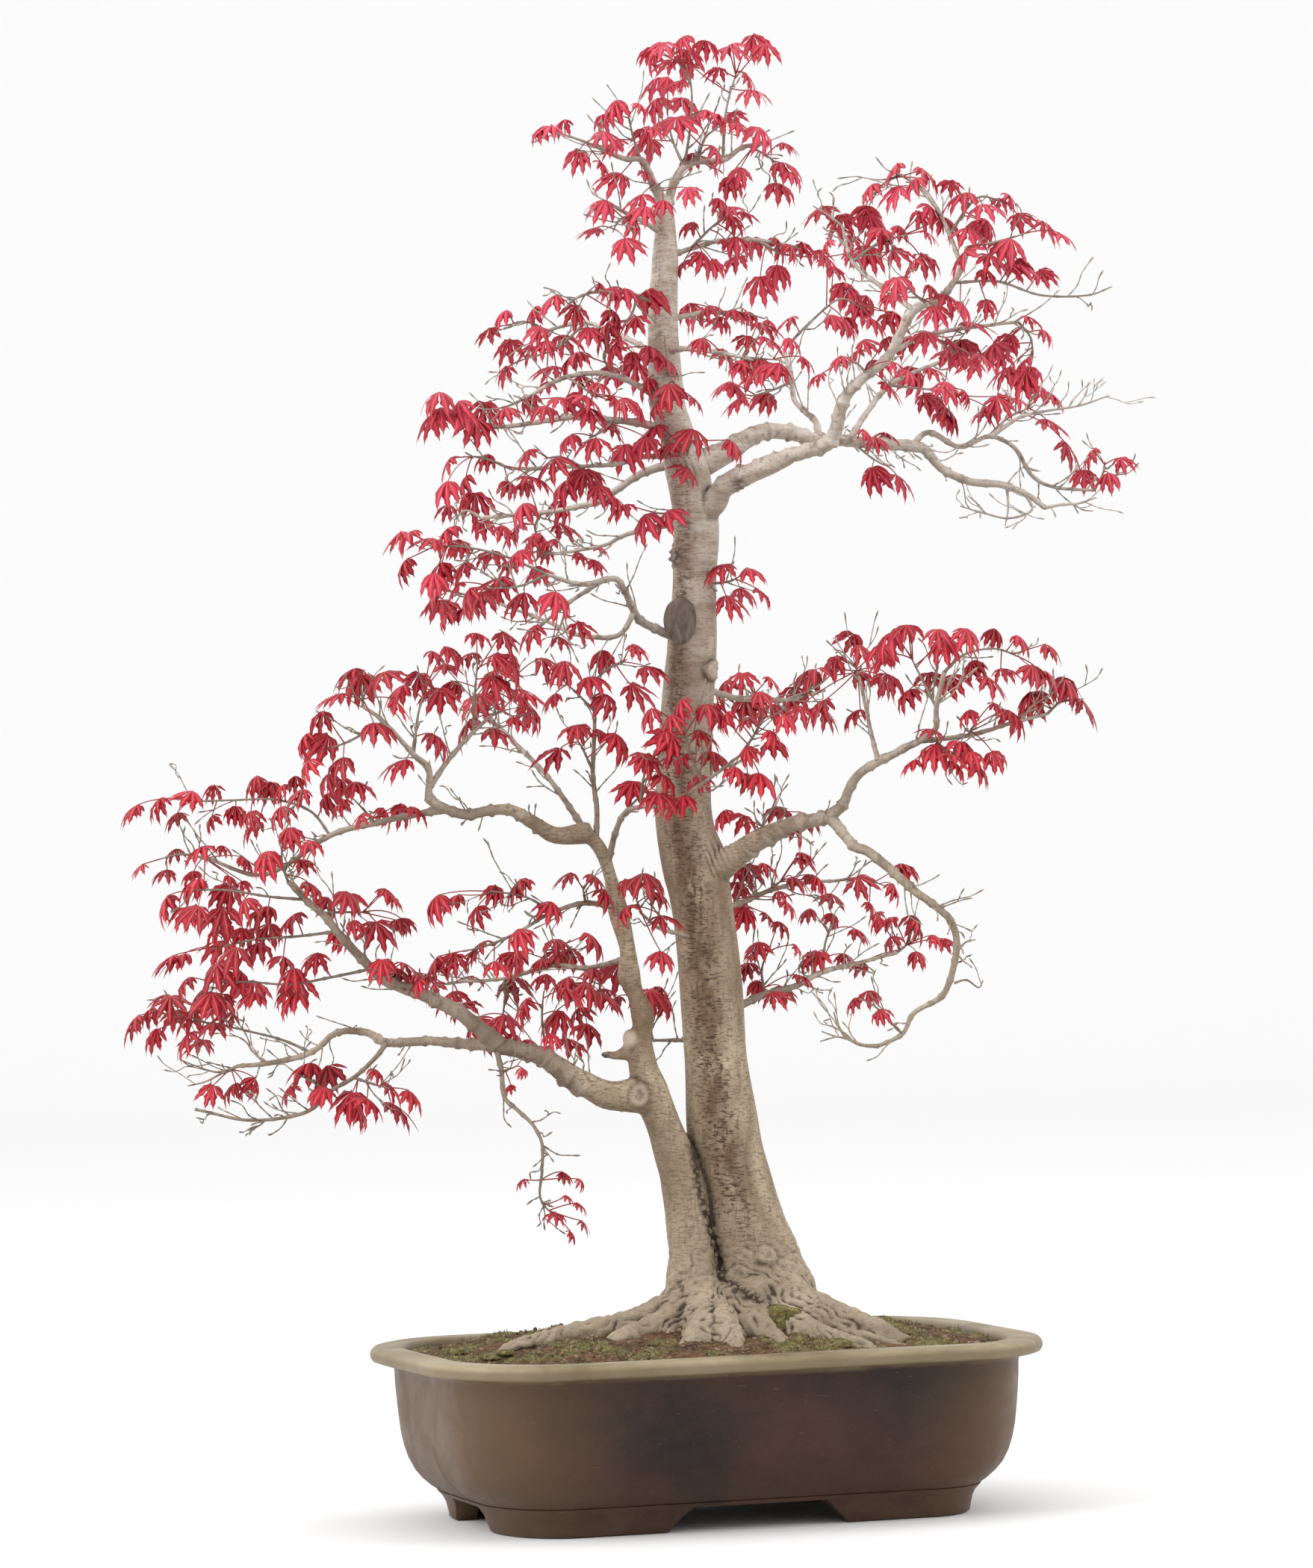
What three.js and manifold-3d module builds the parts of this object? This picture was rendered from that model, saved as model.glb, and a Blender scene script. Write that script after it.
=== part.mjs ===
// Deshojo Japanese maple bonsai: a twin-trunk tree in spring leaf, in a brown stoneware pot.
// Millimetres, +Z up. The origin is the middle of the ground that the pot and crown cover.
import * as THREE from 'three';
import { mergeVertices } from 'three/addons/utils/BufferGeometryUtils.js';
import Module from 'manifold-3d';

const wasm = await Module();
wasm.setup();

// Pot
const rimLength = 424;
const rimWidth = 312;
const potHeight = 115.5;
const cornerAlongLength = 80;
const cornerAlongWidth = 100;
const footHeight = 16;
const footWidth = 16;
const footInset = 46;
const floorTop = 26;
const drainRadius = 14;
const drainSpacing = 190;
const screenSide = 46;
const screenThickness = 1;

// Soil
const soilEdge = 107;
const moundHeight = 20;
const moundMiddle = [26, -6];

// Tree
const viewDistance = 4100;
const eye = { x: -30.5, z: 485 };
const eyeOverPot = { x: -22, z: 488 };
const lean = 0.026;
const potTurn = THREE.MathUtils.degToRad(17.5);
const rootBallDepth = 84;

// Leaves
const leafReach = 18;
const leafThickness = 1.5;
const stalkRadius = 0.8;
const stemRadius = 1.25;
const stoutBranch = 3.45;
const shortestStalk = 11;
const leafPitch = 3.2;
const depthScatter = 22;
const leafShare = 0.445;

// Touching pieces keep this much air between them.
const airGap = 0.4;

const colours = {
  stoneware: 0x4f3a2b,
  screen: 0x2b2d2e,
  soil: 0x766d44,
  bark: 0xa8957d,
  putty: 0x786762,
  leaf: 0xb34a52,
};

// One seeded draw, so that every build gives the same tree.
let seed = 20417;
function draw() {
  seed = (seed * 1664525 + 1013904223) % 4294967296;
  return seed / 4294967296;
}

function toSolid(geometry) {
  const plain = geometry.clone();
  plain.deleteAttribute('normal');
  plain.deleteAttribute('uv');
  const merged = mergeVertices(plain, 1e-4);
  return new wasm.Manifold(new wasm.Mesh({
    numProp: 3,
    vertProperties: new Float32Array(merged.attributes.position.array),
    triVerts: new Uint32Array(merged.index.array),
  }));
}

function toGeometry(solid) {
  const mesh = solid.getMesh();
  const geometry = new THREE.BufferGeometry();
  geometry.setAttribute('position', new THREE.BufferAttribute(mesh.vertProperties, 3));
  geometry.setIndex(Array.from(mesh.triVerts));
  geometry.computeVertexNormals();
  return geometry;
}

function fromTriangles(points, index) {
  const geometry = new THREE.BufferGeometry();
  const corners = points.flatMap((p) => [p.x, p.y, p.z]);
  geometry.setAttribute('position', new THREE.Float32BufferAttribute(corners, 3));
  geometry.setIndex(index);
  return geometry;
}

function middleOf(points) {
  const middle = new THREE.Vector3();
  points.forEach((p) => middle.add(p));
  return middle.divideScalar(points.length);
}

// A closed skin over rings of equal count, each end closed by a fan.
function loft(rings) {
  const count = rings[0].length;
  const points = rings.flat();
  const index = [];
  for (let r = 0; r < rings.length - 1; r += 1) {
    for (let i = 0; i < count; i += 1) {
      const a = r * count + i;
      const b = r * count + ((i + 1) % count);
      index.push(a, b, b + count, a, b + count, a + count);
    }
  }
  const first = points.push(middleOf(rings[0])) - 1;
  const last = points.push(middleOf(rings[rings.length - 1])) - 1;
  const top = (rings.length - 1) * count;
  for (let i = 0; i < count; i += 1) {
    const next = (i + 1) % count;
    index.push(first, next, i, last, top + i, top + next);
  }
  return fromTriangles(points, index);
}

function mesh(name, geometry, colour, roughness, metalness = 0) {
  const material = new THREE.MeshStandardMaterial({ color: colour, roughness, metalness });
  const piece = new THREE.Mesh(geometry, material);
  piece.name = name;
  return piece;
}

// The pot's outline, drawn in from the rim's edge by an inset, at a height.
function potOutline(inset, z, cornerSteps = 3) {
  const halfLength = rimLength / 2 - inset;
  const halfWidth = rimWidth / 2 - inset;
  const rx = Math.max(cornerAlongLength - inset * 0.8, 8);
  const ry = Math.max(cornerAlongWidth - inset * 0.8, 8);
  const ring = [];
  const corners = [[1, 1, 0], [-1, 1, 90], [-1, -1, 180], [1, -1, 270]];
  corners.forEach(([sx, sy, start]) => {
    for (let step = 0; step <= cornerSteps; step += 1) {
      const angle = THREE.MathUtils.degToRad(start + (90 * step) / cornerSteps);
      const x = sx * (halfLength - rx) + rx * Math.cos(angle);
      const y = sy * (halfWidth - ry) + ry * Math.sin(angle);
      ring.push(new THREE.Vector3(x, y, z));
    }
  });
  return ring;
}

function slab(width, depth, height, x, y, z) {
  const box = new THREE.BoxGeometry(width, depth, height);
  box.translate(x, y, z);
  return toSolid(box);
}

// A wedge-sided bar across the foot ring, which leaves the sloping ends of two feet.
function footGap(bottom, top, length, alongY) {
  const outline = new THREE.Shape([
    new THREE.Vector2(-bottom / 2 - 1, -1), new THREE.Vector2(bottom / 2 + 1, -1),
    new THREE.Vector2(top / 2, footHeight), new THREE.Vector2(-top / 2, footHeight),
  ]);
  const bar = new THREE.ExtrudeGeometry(outline, { depth: length, bevelEnabled: false });
  bar.translate(0, 0, -length / 2);
  bar.rotateX(Math.PI / 2);
  if (!alongY) bar.rotateZ(Math.PI / 2);
  return toSolid(bar);
}

// Pot: thrown walls with an overhanging flat lip, on four corner feet.
function makePot() {
  const profile = [
    [49, footHeight], [37, 22.5], [27, 33], [20.5, 49], [17.5, 70], [15.5, 98], [14, 104], [2, 106],
    [0, 109.5], [3, potHeight], [20, potHeight], [22, 113.5], [25, 96], [29, 44], [38, floorTop],
  ];
  let body = toSolid(loft(profile.map(([inset, z]) => potOutline(inset, z))));
  const ring = (inset) => toSolid(loft([
    potOutline(inset + 4, 0, 2), potOutline(inset, 5, 2), potOutline(inset, footHeight + 3, 2),
  ]));
  const hollow = toSolid(loft([
    potOutline(footInset + footWidth, -1, 2), potOutline(footInset + footWidth, footHeight, 2),
  ]));
  const feet = ring(footInset).subtract(hollow)
    .subtract(footGap(124, 92, rimWidth, true))
    .subtract(footGap(86, 60, rimLength, false));
  body = body.add(feet);
  [-1, 1].forEach((side) => {
    const hole = new THREE.CylinderGeometry(drainRadius, drainRadius, 40, 16);
    hole.rotateX(Math.PI / 2);
    hole.translate((side * drainSpacing) / 2, 0, footHeight);
    body = body.subtract(toSolid(hole));
  });
  return body;
}

// Drain screen: a square of plastic mesh with four square holes.
function makeScreen(side) {
  const x = (side * drainSpacing) / 2;
  const z = floorTop + airGap + screenThickness / 2;
  let plate = slab(screenSide, screenSide, screenThickness, x, 0, z);
  const pitch = screenSide / 2.4;
  for (let i = -0.5; i <= 0.5; i += 1) {
    for (let j = -0.5; j <= 0.5; j += 1) {
      plate = plate.subtract(slab(pitch * 0.7, pitch * 0.7, 4, x + i * pitch, j * pitch, z));
    }
  }
  return plate;
}

// A place on the tree, given as seen from its front: x to the right, z up and y away from the
// viewer. A place further back is spread outwards, so that it stays behind the same spot.
function place([x, z, y]) {
  const spread = 1 + y / viewDistance;
  const right = x - eye.x;
  const up = z - eye.z;
  const point = new THREE.Vector3(
    eyeOverPot.x + (right + lean * up) * spread,
    y,
    eyeOverPot.z + (up - lean * right) * spread,
  );
  return point.applyAxisAngle(new THREE.Vector3(0, 0, 1), -potTurn);
}

// A tapered closed stem through its points. A flute gives the bark its long swellings.
function stem(points, radii, sides, flute = 0, grow = 0) {
  const rings = [];
  let normal = new THREE.Vector3(0, 1, 0.2);
  const last = points.length - 1;
  points.forEach((point, k) => {
    const along = points[Math.min(k + 1, last)].clone().sub(points[Math.max(k - 1, 0)]).normalize();
    normal = normal.clone().addScaledVector(along, -normal.dot(along)).normalize();
    const across = along.clone().cross(normal);
    const centre = point.clone();
    if (k === 0) centre.addScaledVector(along, -grow);
    if (k === last) centre.addScaledVector(along, grow);
    const ring = [];
    for (let i = 0; i < sides; i += 1) {
      const angle = (2 * Math.PI * i) / sides;
      const swell = 1 + flute * Math.sin(3 * angle + k * 0.55) + flute * 0.6 * Math.sin(5 * angle - k * 0.8);
      const radius = radii[k] * swell + grow / Math.cos(Math.PI / sides);
      ring.push(centre.clone()
        .addScaledVector(normal, radius * Math.cos(angle))
        .addScaledVector(across, radius * Math.sin(angle)));
    }
    rings.push(ring);
  });
  return toSolid(loft(rings));
}

// Trunks and roots: each row is right, up, away and radius.
const stout = {
  trunk: [
    [30, rootBallDepth, 0, 40], [30, 116, 0, 50], [32, 130, 0, 43], [37, 148, 0, 33], [38, 168, 0, 27.5],
    [31, 189, 0, 26], [25, 217, 0, 25], [14, 250, 0, 23], [8, 307, 0, 21], [4, 364, 0, 21],
    [-1, 410, 0, 20.5], [-5, 428, 0, 20.5], [-12, 465, 0, 19], [-11, 510, 0, 18], [-9, 548, 0, 17],
    [-7, 576, 0, 16.5], [-5, 624, 0, 14.5], [-4, 660, 0, 15], [-10, 694, 0, 14.5], [-18, 725, 0, 11.5],
    [-23, 742, 0, 12], [-26, 798, 0, 10], [-25, 832, 0, 9], [-25, 863, 0, 6.5], [-26, 880, 0, 5],
  ],
  second_trunk: [
    [-6, rootBallDepth, -14, 26], [-8, 120, -14, 30], [-7, 136, -14, 24], [-6, 150, -13, 18.5],
    [-7, 173, -12, 15.5], [-11, 211, -12, 15], [-16, 231, -13, 13.5], [-26, 259, -15, 11.5],
    [-34, 278, -16, 12], [-40, 298, -17, 9.5], [-40, 316, -17, 6.5], [-40, 330, -17, 8],
    [-45, 345, -17, 5.6], [-49, 357, -17, 7.5], [-50, 374, -17, 5.5], [-56, 399, -18, 7],
    [-62, 425, -19, 4.4], [-68, 441, -20, 4.6], [-78, 453, -20, 4.6],
  ],
};

const roots = [
  [[-14, 134, -20, 14], [-34, 125, -32, 11], [-66, 118, -46, 8], [-98, 113, -56, 5], [-124, 104, -62, 3]],
  [[6, 138, -26, 20], [4, 125, -46, 17], [2, 116, -62, 13], [-4, 108, -78, 9], [-12, 98, -92, 5]],
  [[30, 142, -24, 18], [36, 128, -46, 12], [46, 118, -64, 8], [58, 109, -80, 5], [66, 99, -90, 4]],
  [[48, 144, -14, 19], [68, 129, -30, 14], [88, 121, -44, 10], [108, 114, -54, 7], [134, 104, -60, 4]],
  [[50, 138, 8, 16], [78, 124, 20, 10], [110, 116, 32, 7], [142, 104, 42, 4]],
  [[36, 142, 22, 18], [46, 128, 50, 12], [52, 117, 78, 8], [56, 102, 98, 5]],
  [[4, 140, 18, 16], [-18, 127, 44, 11], [-38, 116, 70, 7], [-50, 102, 88, 4]],
  [[-22, 132, -4, 12], [-52, 121, 6, 9], [-84, 114, 20, 6.5], [-104, 103, 30, 4]],
];

// Branches: thick end radius, thin end radius, and the route out from the parent.
const branches = {
  apex_left: [4.2, 1.6, [[-26, 874, 0], [-34, 890, -8], [-41, 903, -18], [-52, 904, -26],
    [-73, 913, -38]]],
  apex_right: [4.2, 1.6, [[-25, 866, 0], [-19, 888, 5], [-12, 899, 8], [-3, 903, 12], [14, 904, 18],
    [26, 912, 26], [36, 915, 35]]],
  shoulder_left: [2.6, 1.4, [[-25, 852, 0], [-36, 860, -10], [-48, 866, -22], [-62, 874, -34]]],
  shoulder_right: [2.6, 1.4, [[-24, 838, 2], [-8, 844, 14], [12, 850, 28], [36, 851, 46], [64, 846, 64]]],
  crown_left: [2.8, 1.4, [[-26, 806, 0], [-44, 812, -18], [-58, 815, -30], [-74, 814, -44]]],
  crown_back_left: [3, 1.4, [[-26, 770, 2], [-50, 784, 20], [-78, 795, 40], [-104, 790, 58]]],
  crown_low_left: [3, 1.4, [[-23, 740, 0], [-58, 758, -20], [-90, 757, -38], [-118, 743, -54]]],
  crown_right: [2.8, 1.4, [[-26, 796, 2], [-8, 800, 18], [8, 802, 36], [30, 798, 60]]],
  crown_front: [2.8, 1.4, [[-25, 775, 0], [-12, 776, -24], [8, 774, -46], [34, 768, -66]]],
  d_left: [3.8, 1.5, [[-22, 722, 0], [-40, 726, -12], [-60, 728, -24], [-86, 730, -40], [-120, 725, -60],
    [-148, 722, -76]]],
  c_left: [4.2, 1.6, [[-14, 702, 2], [-36, 695, 12], [-47, 689, 22], [-67, 676, 42], [-81, 672, 54],
    [-108, 668, 76], [-148, 665, 98]]],
  c_upper: [2.6, 1.3, [[-14, 704, -2], [-40, 704, -20], [-56, 699, -32], [-81, 697, -48],
    [-128, 695, -74]]],
  c_lower: [2.4, 1.3, [[-5, 662, 4], [-44, 654, 18], [-56, 650, 26], [-67, 645, 34], [-98, 640, 52]]],
  b_left: [4.2, 1.7, [[-8, 580, 4], [-37, 592, -6], [-46, 602, -18], [-52, 615, -34], [-59, 622, -46],
    [-81, 618, -66], [-104, 624, -84]]],
  b_side: [2.4, 1.3, [[-45, 601, -17], [-57, 584, -22], [-84, 585, -10], [-104, 594, 0],
    [-138, 607, 12]]],
  b_lower: [2, 1.2, [[-66, 621, -56], [-90, 605, -50], [-113, 586, -58]]],
  e_lower: [7.4, 2, [[-4, 664, 0], [8, 673, -8], [16, 685, -18], [42, 696, -38], [59, 702, -52],
    [80, 708, -68], [88, 716, -74], [93, 734, -82], [99, 746, -86], [111, 758, -92], [126, 772, -98],
    [142, 801, -106], [159, 808, -112], [173, 827, -118], [178, 843, -122]]],
  e_upper: [7.2, 1.8, [[-9, 696, 2], [16, 708, 14], [30, 717, 24], [43, 722, 34], [62, 722, 46],
    [78, 718, 56], [99, 717, 68], [140, 713, 92], [150, 710, 98], [161, 698, 104], [181, 689, 112],
    [202, 687, 118], [219, 680, 124], [229, 672, 128]]],
  e_rise: [3.2, 1.7, [[78, 718, 56], [76, 729, 64], [69, 736, 74], [62, 744, 86], [60, 756, 98],
    [55, 778, 110]]],
  e_far: [2.6, 1.4, [[140, 713, 92], [152, 722, 100], [173, 713, 110], [192, 720, 118], [209, 713, 124],
    [221, 694, 132], [236, 686, 138], [262, 684, 144]]],
  e_back: [3, 1.5, [[99, 717, 68], [112, 738, 92], [126, 754, 116], [150, 766, 138], [176, 775, 158]]],
  e_over: [2.2, 1.3, [[126, 772, -98], [150, 784, -82], [182, 790, -64], [212, 794, -44]]],
  e_inner: [2.4, 1.3, [[142, 801, -106], [122, 816, -92], [101, 834, -78], [94, 858, -64]]],
  e_crest: [2.2, 1.3, [[174, 829, -118], [166, 852, -112], [152, 878, -100], [134, 892, -88]]],
  back: [3.4, 1.4, [[-8, 552, 4], [6, 548, 34], [28, 543, 70], [56, 543, 108], [82, 550, 140]]],
  a_out: [5, 3.2, [[-76, 452, -20], [-98, 450, -34], [-114, 459, -48], [-131, 467, -60], [-157, 463, -76],
    [-173, 468, -86], [-183, 473, -92]]],
  a_up: [3, 1.5, [[-183, 472, -92], [-183, 493, -97], [-193, 503, -102], [-213, 525, -110],
    [-227, 535, -114]]],
  a_far: [3.2, 1.5, [[-170, 467, -84], [-190, 464, -80], [-219, 458, -70], [-249, 450, -50],
    [-279, 430, -30], [-300, 424, -18], [-328, 434, -8]]],
  a_long: [2.8, 1.3, [[-78, 453, -18], [-94, 477, -2], [-106, 493, 12], [-122, 509, 28], [-133, 521, 42],
    [-146, 530, 54]]],
  a_rise: [2.6, 1.3, [[-71, 445, -20], [-70, 466, -24], [-73, 493, -32], [-72, 533, -44],
    [-76, 550, -50]]],
  a_cross: [2.8, 1.3, [[-64, 431, -19], [-54, 462, -40], [-41, 469, -52], [-24, 470, -64], [0, 484, -80],
    [26, 503, -94]]],
  a_inner: [2.6, 1.3, [[-182, 482, -93], [-169, 501, -80], [-153, 519, -68], [-141, 530, -60]]],
  m_front: [2.6, 1.3, [[-57, 402, -18], [-78, 405, -42], [-100, 398, -66], [-125, 383, -86]]],
  m_back: [2.6, 1.3, [[-50, 368, -17], [-75, 362, 14], [-100, 364, 42], [-132, 356, 68],
    [-163, 354, 90]]],
  between: [2.2, 1.2, [[-4, 380, -4], [-14, 384, -28], [-29, 388, -42], [-41, 398, -52]]],
  low_between: [2.2, 1.2, [[2, 312, 4], [-16, 314, 26], [-33, 314, 36]]],
  h_low: [8.6, 6.2, [[-34, 277, -16], [-60, 276, -26], [-75, 282, -34], [-90, 291, -44],
    [-104, 303, -52], [-117, 307, -58], [-138, 309, -62]]],
  h_up: [3.4, 1.6, [[-136, 309, -62], [-152, 322, -64], [-163, 332, -66], [-178, 339, -69],
    [-193, 344, -72], [-211, 351, -76], [-221, 360, -78], [-232, 372, -80], [-244, 385, -84],
    [-254, 397, -86], [-265, 406, -88], [-277, 418, -93]]],
  h_mid: [4.2, 1.5, [[-136, 309, -62], [-162, 311, -46], [-186, 313, -30], [-211, 312, -14],
    [-225, 319, -2], [-245, 319, 12], [-262, 306, 24], [-292, 299, 42], [-311, 297, 54]]],
  h_end: [2.2, 1.3, [[-211, 312, -14], [-219, 301, -26], [-233, 288, -38], [-250, 278, -48],
    [-266, 264, -58], [-303, 259, -70], [-339, 266, -82]]],
  i_drop: [2.3, 1.3, [[-138, 308, -62], [-134, 291, -72], [-132, 274, -80], [-123, 265, -86],
    [-113, 255, -92], [-107, 242, -96], [-107, 224, -98]]],
  f_right: [7.2, 5, [[4, 424, 0], [26, 439, -22], [40, 449, -36], [60, 457, -52], [77, 461, -64],
    [87, 463, -71]]],
  f_down: [4, 1.5, [[85, 462, -70], [101, 443, -80], [113, 437, -86], [140, 414, -98],
    [156, 402, -104], [167, 390, -108], [170, 371, -110], [162, 343, -108], [142, 330, -104],
    [134, 316, -102], [118, 308, -98]]],
  f_up: [4.2, 1.6, [[85, 462, -70], [94, 470, -74], [99, 481, -77], [107, 492, -82], [132, 506, -94],
    [144, 512, -100], [156, 520, -106], [157, 534, -110], [162, 558, -117]]],
  f_far: [2.4, 1.3, [[144, 512, -100], [178, 516, -84], [205, 524, -68], [231, 531, -54]]],
  f_rise: [2.2, 1.3, [[118, 499, -88], [113, 518, -80], [110, 534, -72], [105, 556, -62]]],
  g_back: [3.6, 1.5, [[10, 330, 6], [42, 345, 32], [62, 351, 54], [81, 361, 78], [101, 366, 102],
    [130, 374, 130]]],
  g_high: [3, 1.4, [[0, 398, 6], [22, 404, 34], [44, 414, 64], [66, 420, 94], [88, 422, 124]]],
};

function limbOf(name, sides, grow) {
  if (stout[name]) {
    const rows = stout[name];
    return stem(rows.map(place), rows.map((row) => row[3]), sides, 0.05, grow);
  }
  const [thick, thin, route] = branches[name];
  const radii = route.map((row, k) => thick + ((thin - thick) * k) / (route.length - 1));
  return stem(route.map(place), radii, sides, 0, grow);
}

// Wound putty: a flat oval disc on a pruning cut, facing the front left.
function makePutty() {
  const disc = new THREE.CylinderGeometry(10.5, 12, 7, 14);
  disc.scale(1, 1, 1.32);
  disc.rotateZ(Math.PI / 2 + THREE.MathUtils.degToRad(33.5));
  const seat = place([-15, 594, -12.5]);
  disc.translate(seat.x, seat.y, seat.z);
  return toSolid(disc);
}

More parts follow.
